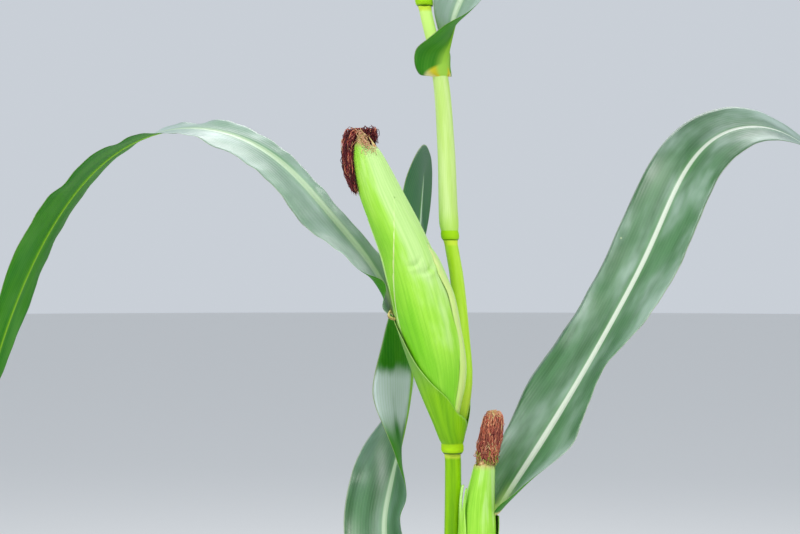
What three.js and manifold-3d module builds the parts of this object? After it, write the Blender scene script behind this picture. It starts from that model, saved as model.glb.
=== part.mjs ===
// Maize plant at the milk stage, with two ears and a tassel.
// Millimetres, +Z up. The origin is the middle of the flat cut under the stalk, at ground level.
// Angles round the stalk are degrees from +X towards +Y, seen from above.
import * as THREE from 'three';
import { mergeVertices } from 'three/addons/utils/BufferGeometryUtils.js';
import Module from 'manifold-3d';

const wasm = await Module();
wasm.setup();

// Clearance between a piece and what carries it
const SEAT = 0.35;
// Side of the slab that stands for a half of space
const HALF_SPACE = 4000;

// Stalk
const STALK_SIDES = 8;
const STALK_TOP = 2236;
const LEVEL_STEP = 90;
const NODE_SWELL = 1.1;
const NODE_HALF = 7;
const BARE_NODES = [45, 85, 150];
// Further rings where the stalk bows round the foot of the main ear
const BOW_LEVELS = [1045, 1068, 1105];
const STALK_X = [[0, 0], [455, 1], [800, 4], [985, 6], [1004, 5.5], [1030, 12.5], [1068, 18],
  [1110, 15.5], [1172, 9.5], [1212, 3], [1300, -1], [1373, -7], [1446, -23], [1640, -37],
  [1956, -48], [STALK_TOP, -58]];
const STALK_Y = [[0, 0], [1446, 0], [1800, 6], [STALK_TOP, 18]];
const STALK_RADIUS = [[0, 13], [150, 12.4], [455, 11.2], [800, 9.2], [1000, 8], [1205, 6.7],
  [1446, 6.3], [1640, 5.6], [1956, 4.2], [STALK_TOP, 2.6]];

// Brace roots, the flare of the foot
const BRACE_WHORLS = [
  { z: 45, count: 7, reach: 50, radius: 3.1, first: 10 },
  { z: 85, count: 6, reach: 82, radius: 3.6, first: 35 },
];
const BRACE_SIDES = 5;
const BRACE_LEVELS = 3;
const BRACE_START = 6;
const BRACE_KNEE = [0.8, 0.72];
const BRACE_END = -6;

// Leaf sheaths
const SHEATH_BASE_WALL = 2.9;
const SHEATH_COLLAR_WALL = 1.1;
const SHEATH_RING = 0.6;
const SHEATH_DROP = 7;
const CUP_HEIGHT = 42;
const CUP_LEVELS = [0, 0.15, 0.45, 1];
const CUP_SHIFT = 0.68;
const CUP_SPREAD = [7, 13];
const CUP_WALL = 1.6;
const MARGIN_SLOPE = 1.6;
const COLLAR_FLARE = 0.9;
const COLLAR_WRAP = 190;

// Leaf blades
const BLADE_MIDDLE = 2.4;
const BLADE_MARGIN = 1.5;
const BLADE_TIP_WIDTH = 3;
const MIDRIB_STEPS = 80;
const BLADE_ACROSS = 4;
const BLADE_ALONG = 6;
const BASE_CROWDING = 1.7;
const BLADE_LIFT = 0.1;
const EAR_BLADE_LIFT = 0.8;
const BLADE_OUTLINE = [[0.03, 0.7], [0.1, 0.82], [0.2, 0.9], [0.38, 1], [0.6, 0.9], [0.8, 0.58],
  [0.93, 0.25], [1, 0]];
const TROUGH = [[0.03, 105], [0.08, 74], [0.16, 50], [0.3, 34], [1, 22]];

// Main ear: height, then place and half width of its outline there
const MAIN_EAR = [[1002, 5, -6, 7.2], [1022, -1, -16, 9.6], [1045, -5, -20, 16],
  [1082, -10, -24, 25.5], [1125, -20, -26, 30], [1191, -38.5, -27, 27.6], [1262, -68.3, -28, 22],
  [1298, -81, -28, 13.7], [1316, -87, -28, 4]];
const SECOND_EAR = [[802, 6, -6, 7.2], [820, 10, -18, 9], [845, 18.5, -22, 15], [880, 26, -21, 19.6],
  [914, 30.5, -18, 18.6], [950, 32.5, -16, 15.6], [986, 37, -15, 11.2]];
const EAR_SIDES = 12;
const EAR_FLATNESS = 0.97;

// Leaves, lowest first. rise is the climb of the midrib in degrees at a share of its length,
// turn its heading, twist the roll of the blade about the midrib, trough its bend across.
const LEAVES = [
  { node: 225, sheath: 72, length: 450, width: 55, ...arch(352, 62, 0.34, -62, 6) },
  { node: 325, sheath: 100, length: 580, width: 68, ...arch(168, 64, 0.36, -66, -8) },
  { node: 455, sheath: 128, length: 700, width: 78, ...arch(-12, 66, 0.38, -70, 10) },
  { node: 615, sheath: 150, length: 830, width: 98, split: 0.52, tipRows: 12,
    rise: [[0, 90], [0.04, 62], [0.1, 55], [0.19, 66], [0.25, 74], [0.33, 77], [0.45, 86],
      [0.55, 68], [0.7, 20], [0.85, -32], [1, -60]],
    turn: [[0, 150], [0.1, 148], [0.19, 106], [0.25, 40], [0.33, 20], [0.45, 60], [0.55, 80],
      [0.7, 88], [1, 95]],
    twist: [[0, 0], [0.1, -50], [0.19, -50], [0.25, 11], [0.29, 6], [0.33, -16], [0.38, -52],
      [0.45, -94], [0.55, -112], [0.7, -82], [0.85, -45], [1, -10]],
    trough: [[0.03, 120], [0.1, 110], [0.2, 125], [0.35, 120], [0.45, 90], [0.6, 60], [0.8, 40],
      [1, 24]] },
  { node: 800, sheath: 135, length: 880, width: 98, split: 0.42, rows: 16, tipRows: 10,
    ear: { outline: SECOND_EAR, collar: 30, spread: 100 },
    rise: [[0, 58], [0.05, 53], [0.12, 53], [0.3, 55], [0.46, 55], [0.6, 12], [0.76, -38], [1, -74]],
    turn: [[0, 20], [0.1, 26], [0.3, 32], [0.46, 38], [1, 14]],
    twist: [[0, 0], [0.05, 18], [0.1, 24], [0.2, 14], [0.3, 16], [0.45, 34], [1, 24]],
    trough: [[0.03, 112], [0.06, 96], [0.1, 62], [0.16, 44], [0.3, 34], [1, 22]] },
  { node: 1000, sheath: 133, length: 870, width: 95, split: 0.42,
    ear: { outline: MAIN_EAR, collar: 150, spread: 80 },
    rise: [[0, 66], [0.05, 55], [0.1, 46], [0.2, 43], [0.36, 10], [0.6, -46], [1, -80]],
    turn: [[0, 146], [0.3, 150], [1, 158]],
    twist: [[0, 0], [0.05, -8], [0.12, -34], [0.25, -30], [0.5, -14], [1, 10]] },
  { node: 1212, sheath: 161, length: 850, width: 98, split: 0.44,
    rise: [[0, 90], [0.02, 80], [0.05, 76], [0.08, 68], [0.2, 54], [0.42, 4], [0.7, -52], [1, -74]],
    turn: [[0, -60], [0.03, -46], [0.09, -14], [0.3, -10], [1, -6]],
    twist: [[0, 0], [0.025, 4], [0.04, 38], [0.058, 54], [0.078, 66], [0.13, 64], [0.3, 24],
      [1, -24]],
    trough: [[0.01, 165], [0.025, 150], [0.06, 140], [0.1, 110], [0.16, 60], [0.3, 34], [1, 22]] },
  { node: 1446, sheath: 150, length: 800, width: 95, ...arch(160, 68, 0.4, -70, -14) },
  { node: 1640, sheath: 135, length: 720, width: 88, ...arch(-22, 70, 0.42, -68, 12) },
  { node: 1806, sheath: 118, length: 620, width: 80, ...arch(172, 72, 0.46, -60, -10) },
  { node: 1956, sheath: 102, length: 500, width: 68, ...arch(-8, 74, 0.52, -46, 14) },
  { node: 2086, sheath: 88, length: 380, width: 52, ...arch(184, 76, 0.6, -30, -12) },
];

// Silk: place and radius along each tuft
const MAIN_SILK = [[-73, -28, 1304, 5], [-82, -29, 1311, 10.5], [-91, -30, 1309, 9.5],
  [-96, -31, 1294, 6.5], [-94.5, -32, 1274, 4.5], [-91, -33, 1254, 1.6]];
const SECOND_SILK = [[38.2, -15, 986.6, 11], [40, -15, 998, 12], [43, -15, 1016, 12.4],
  [45, -15, 1030, 10.5], [46, -15, 1038, 5]];
const SILK_SIDES = 7;
const SILK_LEVELS = 7;

// Tassel
const TASSEL_TOP = 2520;
const SPIKE = [[STALK_TOP + SEAT, 2.6], [2335, 2.4], [2352, 5.5], [2440, 5.6], [2500, 3.6],
  [TASSEL_TOP, 1.2]];
const SPIKE_LEVELS = [STALK_TOP + SEAT, 2290, 2335, 2352, 2400, 2440, 2475, 2500, TASSEL_TOP];
const SPIKE_FOOT = { x: -58, y: 18 };
const SPIKE_TIP = { x: -76, y: 26 };
const SPIKE_SIDES = 8;
const TASSEL_BRANCHES = 9;
const BRANCH_FIRST = 2248;
const BRANCH_LAST = 2334;
const BRANCH_HEADING = 20;
const BRANCH_TURN = 137.5;
const BRANCH_LENGTH = [235, 150];
const BRANCH_MIDDLE = [0.4, 0.62];
const BRANCH_END = [0.85, 0.55];
const BRANCH_RADIUS = [[0, 1.6], [0.16, 1.7], [0.24, 3.6], [0.7, 3.6], [1, 1.2]];
const BRANCH_SIDES = 5;
const BRANCH_LEVELS = 5;

const SHEATH_GREEN = material(0xb9de74, 0.55);
const STALK_GREEN = material(0x9fce1e, 0.45);
const BLADE_GREEN = material(0x4f7f4a, 0.4);
const HUSK_GREEN = material(0xa6dc52, 0.55);
const SILK_RED = material(0x7a2c24, 0.75);
const TASSEL_STRAW = material(0xc79a5c, 0.8);

function material(color, roughness) {
  return new THREE.MeshStandardMaterial({ color, roughness, metalness: 0 });
}

// The stations of a leaf that climbs, arches over at a share of its length and droops
function arch(heading, climb, crest, droop, sweep) {
  const falling = [(crest + 1) / 2, droop * 0.7];
  return {
    split: crest + 0.02,
    rise: [[0, 90], [0.06, climb], [0.2, climb * 0.8], [crest, 4], falling, [1, droop]],
    turn: [[0, heading], [0.4, heading + sweep], [1, heading + sweep * 1.3]],
    twist: [[0, 0], [0.5, sweep], [1, -sweep]],
  };
}

// A smooth line through [place, value] stations
function through(stations) {
  const last = stations.length - 1;
  const secant = (i) => {
    const [from, start] = stations[i];
    const [to, end] = stations[i + 1];
    return (end - start) / (to - from);
  };
  const slope = stations.map((station, i) => {
    if (i === 0) return secant(0);
    if (i === last) return secant(last - 1);
    return (secant(i - 1) + secant(i)) / 2;
  });
  return (place) => {
    let i = 0;
    while (i < last - 1 && place > stations[i + 1][0]) i += 1;
    const [from, start] = stations[i];
    const [to, end] = stations[i + 1];
    const span = to - from;
    const t = THREE.MathUtils.clamp((place - from) / span, 0, 1);
    const rest = 1 - t;
    return rest * rest * (1 + 2 * t) * start + t * t * (3 - 2 * t) * end
      + rest * rest * t * span * slope[i] - t * t * rest * span * slope[i + 1];
  };
}

const column = (rows, place, value) => through(rows.map((row) => [row[place], row[value]]));

// Moves every corner of a plain shape to where place puts it
function shaped(plain, place) {
  plain.deleteAttribute('normal');
  plain.deleteAttribute('uv');
  const geometry = mergeVertices(plain);
  const corners = geometry.attributes.position;
  for (let i = 0; i < corners.count; i += 1) {
    const moved = place(corners.getX(i), corners.getY(i), corners.getZ(i));
    corners.setXYZ(i, moved.x, moved.y, moved.z);
  }
  return geometry;
}

// A closed stack of level rings, each given by centre and half widths
function stacked(heights, sides, ringAt) {
  const steps = heights.length - 1;
  return shaped(new THREE.CylinderGeometry(1, 1, 1, sides, steps), (x, y, z) => {
    const height = heights[Math.round((y + 0.5) * steps)];
    const ring = ringAt(height);
    return new THREE.Vector3(ring.x + ring.a * x, ring.y - ring.b * z, height);
  });
}

// A closed round limb along a path, of the given radius at each share of it.
// across is a direction that no limb runs along.
function limb(path, radiusAt, sides, steps) {
  const across = new THREE.Vector3(0.31, 0.94, 0.12).normalize();
  return shaped(new THREE.CylinderGeometry(1, 1, 1, sides, steps), (x, y, z) => {
    const share = y + 0.5;
    const along = path.getTangent(share);
    const side = across.clone().cross(along).normalize();
    const front = side.clone().cross(along);
    const radius = radiusAt(share);
    return path.getPoint(share).addScaledVector(side, x * radius).addScaledVector(front, z * radius);
  });
}

function solidOf(geometry) {
  const vertProperties = new Float32Array(geometry.attributes.position.array);
  const triVerts = new Uint32Array(geometry.index.array);
  return new wasm.Manifold(new wasm.Mesh({ numProp: 3, vertProperties, triVerts }));
}

// The largest single body of a solid, as a geometry
function geometryOf(solid) {
  const bodies = solid.decompose();
  const body = bodies.reduce((best, one) => (one.volume() > best.volume() ? one : best));
  const mesh = body.getMesh();
  const geometry = new THREE.BufferGeometry();
  geometry.setAttribute('position', new THREE.BufferAttribute(new Float32Array(mesh.vertProperties), 3));
  geometry.setIndex(new THREE.BufferAttribute(new Uint32Array(mesh.triVerts), 1));
  return geometry;
}

function cut(geometry, ...tools) {
  return geometryOf(tools.reduce((rest, tool) => rest.subtract(tool), solidOf(geometry)));
}

// Everything above a plane through a point, as a slab far larger than the plant
function above(point, normal) {
  const slab = new THREE.BoxGeometry(HALF_SPACE, HALF_SPACE, HALF_SPACE);
  slab.translate(0, 0, HALF_SPACE / 2);
  slab.applyQuaternion(new THREE.Quaternion().setFromUnitVectors(new THREE.Vector3(0, 0, 1), normal));
  slab.translate(point.x, point.y, point.z);
  slab.deleteAttribute('normal');
  slab.deleteAttribute('uv');
  return solidOf(mergeVertices(slab));
}

const plant = new THREE.Group();

function add(name, geometry, finish) {
  const mesh = new THREE.Mesh(geometry, finish);
  mesh.name = name;
  plant.add(mesh);
}

// Stalk
const stalkX = through(STALK_X);
const stalkY = through(STALK_Y);
const stalkRadius = through(STALK_RADIUS);
const nodeHeights = [...BARE_NODES, ...LEAVES.map((leaf) => leaf.node)];

function swell(height) {
  const nearest = Math.min(...nodeHeights.map((node) => Math.abs(height - node)));
  return NODE_SWELL * Math.max(0, 1 - nearest / NODE_HALF);
}

function stalkRing(spare) {
  return (height) => {
    const radius = stalkRadius(height) + swell(height) + spare;
    return { x: stalkX(height), y: stalkY(height), a: radius, b: radius };
  };
}

function stalkLevels() {
  const fixed = [0, STALK_TOP];
  nodeHeights.forEach((node) => fixed.push(node - NODE_HALF, node, node + NODE_HALF));
  LEAVES.forEach((leaf) => fixed.push(leaf.node - SHEATH_DROP, leaf.node + leaf.sheath));
  fixed.push(...BOW_LEVELS);
  fixed.sort((a, b) => a - b);
  const levels = [fixed[0]];
  fixed.slice(1).forEach((height) => {
    const start = levels[levels.length - 1];
    const parts = Math.ceil((height - start) / LEVEL_STEP);
    for (let i = 1; i <= parts; i += 1) levels.push(start + ((height - start) * i) / parts);
  });
  return levels;
}

const levels = stalkLevels();
const stalkCore = solidOf(stacked(levels, STALK_SIDES, stalkRing(0)));
const stalkRoom = solidOf(stacked(levels, STALK_SIDES, stalkRing(SEAT)));

function braceRoot(whorl, index) {
  const heading = THREE.MathUtils.degToRad(whorl.first + (360 * index) / whorl.count);
  const out = (reach, height) => new THREE.Vector3(
    Math.cos(heading) * reach, Math.sin(heading) * reach, height);
  const path = new THREE.QuadraticBezierCurve3(
    out(BRACE_START, whorl.z),
    out(whorl.reach * BRACE_KNEE[0], whorl.z * BRACE_KNEE[1]),
    out(whorl.reach, BRACE_END));
  return limb(path, () => whorl.radius, BRACE_SIDES, BRACE_LEVELS);
}

let foot = stalkCore;
BRACE_WHORLS.forEach((whorl) => {
  for (let i = 0; i < whorl.count; i += 1) foot = foot.add(solidOf(braceRoot(whorl, i)));
});
const underGround = above(new THREE.Vector3(0, 0, 0), new THREE.Vector3(0, 0, -1));
add('stalk', geometryOf(foot.subtract(underGround)), STALK_GREEN);

// Ears
function earRing(outline, spare) {
  const x = column(outline, 0, 1);
  const y = column(outline, 0, 2);
  const half = column(outline, 0, 3);
  return (height) => ({
    x: x(height),
    y: y(height),
    a: half(height) + spare,
    b: half(height) * EAR_FLATNESS + spare,
  });
}

function earHeights(outline, lift) {
  const heights = outline.map((row) => row[0]);
  const between = heights.slice(1).map((height, i) => (height + heights[i]) / 2);
  heights[heights.length - 1] += lift;
  return [...heights, ...between].sort((low, high) => low - high);
}

function earSolid(outline, spare) {
  return stacked(earHeights(outline, spare), EAR_SIDES, earRing(outline, spare));
}

function silkTuft(rows) {
  const path = new THREE.CatmullRomCurve3(rows.map((row) => new THREE.Vector3(row[0], row[1], row[2])));
  const radiusAt = through(rows.map((row, i) => [i / (rows.length - 1), row[3]]));
  return limb(path, radiusAt, SILK_SIDES, SILK_LEVELS);
}

// Where a blade sets out: the middle of its collar and the radius that it wraps
function collarOf(leaf) {
  const height = leaf.node + leaf.sheath;
  const wall = SHEATH_COLLAR_WALL / 2 + SEAT;
  if (leaf.ear) {
    const { x, y, a } = earRing(leaf.ear.outline, 0)(height);
    return { x, y, height, radius: a + wall, heading: leaf.ear.collar, wrap: leaf.ear.spread };
  }
  const { x, y, a } = stalkRing(0)(height);
  const radius = a + wall + COLLAR_FLARE;
  return { x, y, height, radius, heading: leaf.turn[0][1], wrap: COLLAR_WRAP };
}

// Heights and outer radius of a leaf sheath that wraps a bare stalk
function sheathOutline(leaf) {
  const bottom = leaf.node - SHEATH_DROP;
  const top = leaf.node + leaf.sheath;
  const own = levels.filter((height) => height >= bottom - 0.01 && height <= top + 0.01);
  const heights = own.filter((height, i) => i === 0 || height - own[i - 1] > 0.5);
  const radiusAt = (height) => {
    const climb = (height - bottom) / (top - bottom);
    const ring = height < leaf.node + NODE_HALF ? SHEATH_RING : 0;
    const wall = THREE.MathUtils.lerp(SHEATH_BASE_WALL, SHEATH_COLLAR_WALL, climb);
    return stalkRadius(height) + SEAT + wall + ring;
  };
  return { heights, radiusAt };
}

// The space that the foot of a leaf sheath takes, with its clearance
function sheathRoom(leaf) {
  const { heights, radiusAt } = sheathOutline(leaf);
  return solidOf(stacked(heights, STALK_SIDES, (height) => {
    const radius = radiusAt(height) + SEAT;
    return { x: stalkX(height), y: stalkY(height), a: radius, b: radius };
  }));
}

// Leaf sheath round a bare stalk: a wrapped strip, open on the side away from its blade
function plainSheath(leaf) {
  const { heights, radiusAt } = sheathOutline(leaf);
  const facet = 360 / STALK_SIDES;
  const firstCorner = -90;
  const open = Math.floor((leaf.turn[0][1] + 180 - firstCorner) / facet);
  const steps = heights.length - 1;
  const facets = STALK_SIDES - 1;
  return shaped(new THREE.BoxGeometry(1, 1, 1, facets, steps, 1), (x, y, z) => {
    const height = heights[Math.round((y + 0.5) * steps)];
    const corner = open + 1 + Math.round((x + 0.5) * facets);
    const angle = THREE.MathUtils.degToRad(firstCorner + corner * facet);
    const radius = z > 0 ? radiusAt(height) : stalkRing(SEAT)(height).a;
    return new THREE.Vector3(
      stalkX(height) + radius * Math.cos(angle), stalkY(height) + radius * Math.sin(angle), height);
  });
}

// Outer form of the sheath that wraps the stalk and the foot of an ear
function earSheathForm(leaf, spare) {
  const ear = earRing(leaf.ear.outline, SEAT + SHEATH_COLLAR_WALL + spare);
  const shell = stacked(earHeights(leaf.ear.outline, spare), EAR_SIDES, ear);
  const stalk = stalkRing(CUP_WALL + spare);
  const base = leaf.node - SHEATH_DROP;
  const cup = CUP_LEVELS.map((share) => base + share * CUP_HEIGHT);
  const lower = stacked(cup, EAR_SIDES, (height) => {
    const share = (height - base) / CUP_HEIGHT;
    const inner = stalk(height);
    const bud = ear(Math.max(height, leaf.ear.outline[0][0]));
    return {
      x: THREE.MathUtils.lerp(inner.x, bud.x, share * CUP_SHIFT),
      y: THREE.MathUtils.lerp(inner.y, bud.y, share * CUP_SHIFT),
      a: inner.a + share * CUP_SPREAD[0],
      b: inner.b + share * CUP_SPREAD[1],
    };
  });
  return solidOf(shell).add(solidOf(lower));
}

// Leaf sheath round the stalk and the foot of an ear, cut off along a slope on its open side
function earSheath(leaf, earRoom) {
  const collar = collarOf(leaf);
  const heading = THREE.MathUtils.degToRad(collar.heading);
  const edge = heading - THREE.MathUtils.degToRad(collar.wrap / 2);
  const lip = new THREE.Vector3(
    collar.x + collar.radius * Math.cos(edge), collar.y + collar.radius * Math.sin(edge), collar.height);
  const slope = new THREE.Vector3(
    -MARGIN_SLOPE * Math.cos(heading), -MARGIN_SLOPE * Math.sin(heading), 1).normalize();
  const flat = above(new THREE.Vector3(0, 0, collar.height), new THREE.Vector3(0, 0, 1));
  const wall = earSheathForm(leaf, 0).subtract(stalkRoom).subtract(earRoom);
  return geometryOf(wall.subtract(above(lip, slope)).subtract(flat));
}

// Blade of a leaf between two shares of its length, as a thin bent plate
function bladePlate(leaf, from, to, rows, crowding) {
  const collar = collarOf(leaf);
  const rise = through(leaf.rise);
  const turn = through(leaf.turn);
  const twist = through(leaf.twist);
  const outline = through([
    [0, (collar.radius * THREE.MathUtils.degToRad(collar.wrap)) / leaf.width], ...BLADE_OUTLINE]);
  const trough = through([[0, collar.wrap], ...(leaf.trough ?? TROUGH)]);
  const heading = THREE.MathUtils.degToRad(collar.heading);
  const start = new THREE.Vector3(
    collar.x + collar.radius * Math.cos(heading),
    collar.y + collar.radius * Math.sin(heading),
    collar.height + SEAT + (leaf.ear ? EAR_BLADE_LIFT : BLADE_LIFT));
  const towards = (share) => {
    const climb = THREE.MathUtils.degToRad(rise(share));
    const way = THREE.MathUtils.degToRad(turn(share));
    const along = new THREE.Vector3(
      Math.cos(climb) * Math.cos(way), Math.cos(climb) * Math.sin(way), Math.sin(climb));
    return along;
  };
  const points = [start];
  for (let i = 0; i < MIDRIB_STEPS; i += 1) {
    const step = towards((i + 0.5) / MIDRIB_STEPS).multiplyScalar(leaf.length / MIDRIB_STEPS);
    points.push(points[i].clone().add(step));
  }
  const midrib = (share) => {
    const i = Math.min(Math.floor(share * MIDRIB_STEPS), MIDRIB_STEPS - 1);
    return points[i].clone().lerp(points[i + 1], share * MIDRIB_STEPS - i);
  };
  return shaped(new THREE.BoxGeometry(2, 1, 1, BLADE_ACROSS, rows, 1), (x, y, z) => {
    const share = from + (to - from) * (y + 0.5) ** crowding;
    const along = towards(share);
    const way = THREE.MathUtils.degToRad(turn(share));
    const flatSide = new THREE.Vector3(-Math.sin(way), Math.cos(way), 0);
    flatSide.addScaledVector(along, -flatSide.dot(along)).normalize();
    const flatUp = along.clone().cross(flatSide);
    const roll = THREE.MathUtils.degToRad(twist(share));
    const side = flatSide.clone().applyAxisAngle(along, roll);
    const up = flatUp.clone().applyAxisAngle(along, roll);
    const width = Math.max(outline(share) * leaf.width, BLADE_TIP_WIDTH);
    const bend = THREE.MathUtils.degToRad(trough(share));
    const radius = width / bend;
    const angle = (x * bend) / 2;
    const thick = THREE.MathUtils.lerp(BLADE_MIDDLE, BLADE_MARGIN, Math.abs(x));
    return midrib(share)
      .addScaledVector(side, (radius + z * thick) * Math.sin(angle))
      .addScaledVector(up, radius - (radius + z * thick) * Math.cos(angle));
  });
}

const ears = [
  { name: 'main_ear', outline: MAIN_EAR, silk: MAIN_SILK },
  { name: 'second_ear', outline: SECOND_EAR, silk: SECOND_SILK },
];
ears.forEach((ear) => {
  ear.room = solidOf(earSolid(ear.outline, SEAT));
  add(`${ear.name}_husk`, cut(earSolid(ear.outline, 0), stalkRoom), HUSK_GREEN);
  add(`${ear.name}_silk`, cut(silkTuft(ear.silk), ear.room), SILK_RED);
});

// Leaves
LEAVES.forEach((leaf, i) => {
  const name = `leaf_${String(i + 1).padStart(2, '0')}`;
  const half = SEAT / 2 / leaf.length;
  const ear = ears.find((one) => leaf.ear && one.outline === leaf.ear.outline);
  add(`${name}_sheath`, ear ? earSheath(leaf, ear.room) : plainSheath(leaf), SHEATH_GREEN);
  const base = bladePlate(leaf, 0, leaf.split - half, leaf.rows ?? BLADE_ALONG, BASE_CROWDING);
  const rooms = [stalkRoom];
  if (ear) rooms.push(ear.room);
  const next = LEAVES[i + 1];
  if (next) rooms.push(next.ear ? earSheathForm(next, SEAT) : sheathRoom(next));
  add(`${name}_blade`, cut(base, ...rooms), BLADE_GREEN);
  add(`${name}_tip`, bladePlate(leaf, leaf.split + half, 1, leaf.tipRows ?? BLADE_ALONG, 1), BLADE_GREEN);
});

// Tassel: an upright spike and its side branches
const spikeRadius = through(SPIKE);

function spikeRing(spare) {
  return (height) => {
    const share = (height - STALK_TOP) / (TASSEL_TOP - STALK_TOP);
    const radius = spikeRadius(height) + spare;
    return {
      x: THREE.MathUtils.lerp(SPIKE_FOOT.x, SPIKE_TIP.x, share),
      y: THREE.MathUtils.lerp(SPIKE_FOOT.y, SPIKE_TIP.y, share),
      a: radius,
      b: radius,
    };
  };
}

add('tassel_spike', stacked(SPIKE_LEVELS, SPIKE_SIDES, spikeRing(0)), TASSEL_STRAW);
const spikeRoom = solidOf(stacked(SPIKE_LEVELS, SPIKE_SIDES, spikeRing(SEAT)));

for (let i = 0; i < TASSEL_BRANCHES; i += 1) {
  const share = i / (TASSEL_BRANCHES - 1);
  const height = THREE.MathUtils.lerp(BRANCH_FIRST, BRANCH_LAST, share);
  const length = THREE.MathUtils.lerp(BRANCH_LENGTH[0], BRANCH_LENGTH[1], share);
  const heading = THREE.MathUtils.degToRad(BRANCH_HEADING + i * BRANCH_TURN);
  const { x, y } = spikeRing(0)(height);
  const out = (reach, lift) => new THREE.Vector3(
    x + Math.cos(heading) * reach, y + Math.sin(heading) * reach, height + lift);
  const path = new THREE.QuadraticBezierCurve3(
    out(0, 0),
    out(length * BRANCH_MIDDLE[0], length * BRANCH_MIDDLE[1]),
    out(length * BRANCH_END[0], length * BRANCH_END[1]));
  const branch = limb(path, through(BRANCH_RADIUS), BRANCH_SIDES, BRANCH_LEVELS);
  add(`tassel_branch_${i + 1}`, cut(branch, spikeRoom, stalkRoom), TASSEL_STRAW);
}

export default plant;
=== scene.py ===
import random
from math import copysign, cos, degrees, exp, log, pi, radians, remainder, sin, sqrt

import bmesh
import bpy
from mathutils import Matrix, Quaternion, Vector, noise


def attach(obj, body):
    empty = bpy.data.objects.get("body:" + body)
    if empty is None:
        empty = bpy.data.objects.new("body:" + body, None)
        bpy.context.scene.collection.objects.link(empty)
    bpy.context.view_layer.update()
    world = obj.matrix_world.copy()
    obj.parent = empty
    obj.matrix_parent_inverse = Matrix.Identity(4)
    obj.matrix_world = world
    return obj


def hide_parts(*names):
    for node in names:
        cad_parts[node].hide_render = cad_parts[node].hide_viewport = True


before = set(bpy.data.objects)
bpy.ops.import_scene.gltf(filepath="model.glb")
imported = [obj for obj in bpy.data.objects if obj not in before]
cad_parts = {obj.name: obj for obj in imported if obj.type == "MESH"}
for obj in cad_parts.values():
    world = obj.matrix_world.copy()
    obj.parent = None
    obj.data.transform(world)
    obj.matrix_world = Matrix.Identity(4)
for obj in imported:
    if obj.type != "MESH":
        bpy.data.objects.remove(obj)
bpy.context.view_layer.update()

# The vector noise that shakes the silks would start from the clock without a seed
NOISE_SEED = 1
noise.seed_set(NOISE_SEED)

MM = 0.001
SEAT = 0.35

# Stalk
STALK_TOP = 2236
BARE_NODES = [45, 85, 150]
STALK_X = [(0, 0), (455, 1), (800, 4), (985, 6), (1004, 5.5), (1030, 12.5), (1068, 18), (1110, 15.5),
           (1172, 9.5), (1212, 3), (1300, -1), (1373, -7), (1446, -23), (1640, -37), (1956, -48),
           (STALK_TOP, -58)]
STALK_Y = [(0, 0), (1446, 0), (1800, 6), (STALK_TOP, 18)]
STALK_RADIUS = [(0, 13), (150, 12.4), (455, 11.2), (800, 9.2), (1000, 8), (1205, 6.7), (1446, 6.3),
                (1640, 5.6), (1956, 4.2), (STALK_TOP, 2.6)]
NODE_SWELL = [(-9, 0), (-5, 0.5), (-1.5, 1.5), (1, 1.2), (3, 0.3), (6, 0.5), (14, 0)]
STALK_COLUMNS = 32
LEVEL_STEP = 14
NODE_STEP = 1.5
NODE_REACH = 15
GROOVE_DEPTH = 0.7
GROOVE_WIDTH = 26

# Brace roots
BRACE_WHORLS = [
    {"z": 45, "count": 7, "reach": 50, "radius": 3.1, "first": 10},
    {"z": 85, "count": 6, "reach": 82, "radius": 3.6, "first": 35},
]
BRACE_START = 6
BRACE_KNEE = (0.8, 0.72)
BRACE_END = -6
BRACE_GIRTH = [(0, 1.35), (0.25, 1), (1, 0.92)]
GROUND_CUT = 0.001
# A direction that no stem or root runs in, to build rings across them
OBLIQUE = Vector((0.31, 0.94, 0.12))
LIMB_BUMPS = 0.12

# Leaf sheaths
SHEATH_DROP = 5
SHEATH_BASE_WALL = 2.9
SHEATH_COLLAR_WALL = 1.1
SHEATH_LAP = 22
SHEATH_NOTCH = 12
SHEATH_MAP_RADIUS = 20
SHEATH_COLUMNS = 96
SHEATH_STEP = 2.4
EAR_SHEATH_COLUMNS = 160
EAR_SHEATH_ROWS = 80
EAR_SHEATH_WALL = 1.5
LIGULE_RAGS = (1.6, 3.4)
LIGULE_REACH = 150
LIGULE_HALF_WALL = 0.12
RING_PROFILE = [(-5, -3), (-4, -2.2), (-2.5, -1.1), (0.5, -0.7), (3.5, -0.8), (5.5, -1.25), (8, -0.5),
                (13, 0), (30, 0)]
COLLAR_FLARE = 0.9
COLLAR_WRAP = 190
HULL_SOFTNESS = 2
NEAR_WRAP = [(0, 195), (0.19, 190), (0.28, 176), (0.41, 139), (0.51, 105), (0.64, 78), (0.86, 54), (1, 35)]
FAR_WRAP = [(0, 180), (0.12, 180), (0.19, 170), (0.29, 150), (0.37, 125), (0.55, 90), (0.76, 55), (1, 40)]

# Leaf blades
BLADE_THICKNESS = 0.55
BLADE_COLUMNS = 32
BLADE_ROWS = 190
BLADE_CROWDING = 1.6
BLADE_LAP = 3
BLADE_LIFT = 0.1
EAR_BLADE_LIFT = 0.8
BLADE_TUCK = 0.9
BLADE_DIP = 5
BLADE_DIP_REACH = (0.008, 0.045)
RIB_CROWDING = 1.4
RIB_HEIGHT = [(0, 0), (0.004, 0.3), (0.03, 3), (0.3, 2.2), (0.7, 1), (1, 0.2)]
RIB_LEAF_WIDTH = 95
RIB_WIDTH = [(0, 4.6), (0.3, 2.9), (0.7, 1.7), (1, 0.9)]
BLADE_OUTLINE = [(0.004, 0.46), (0.01, 0.6), (0.03, 0.7), (0.1, 0.82), (0.2, 0.9), (0.38, 1), (0.6, 0.9),
                 (0.8, 0.58), (0.93, 0.25), (1, 0)]
BLADE_TIP_WIDTH = 3
TROUGH = [(0.004, 160), (0.01, 130), (0.03, 105), (0.08, 74), (0.16, 50), (0.3, 34), (1, 22)]
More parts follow.
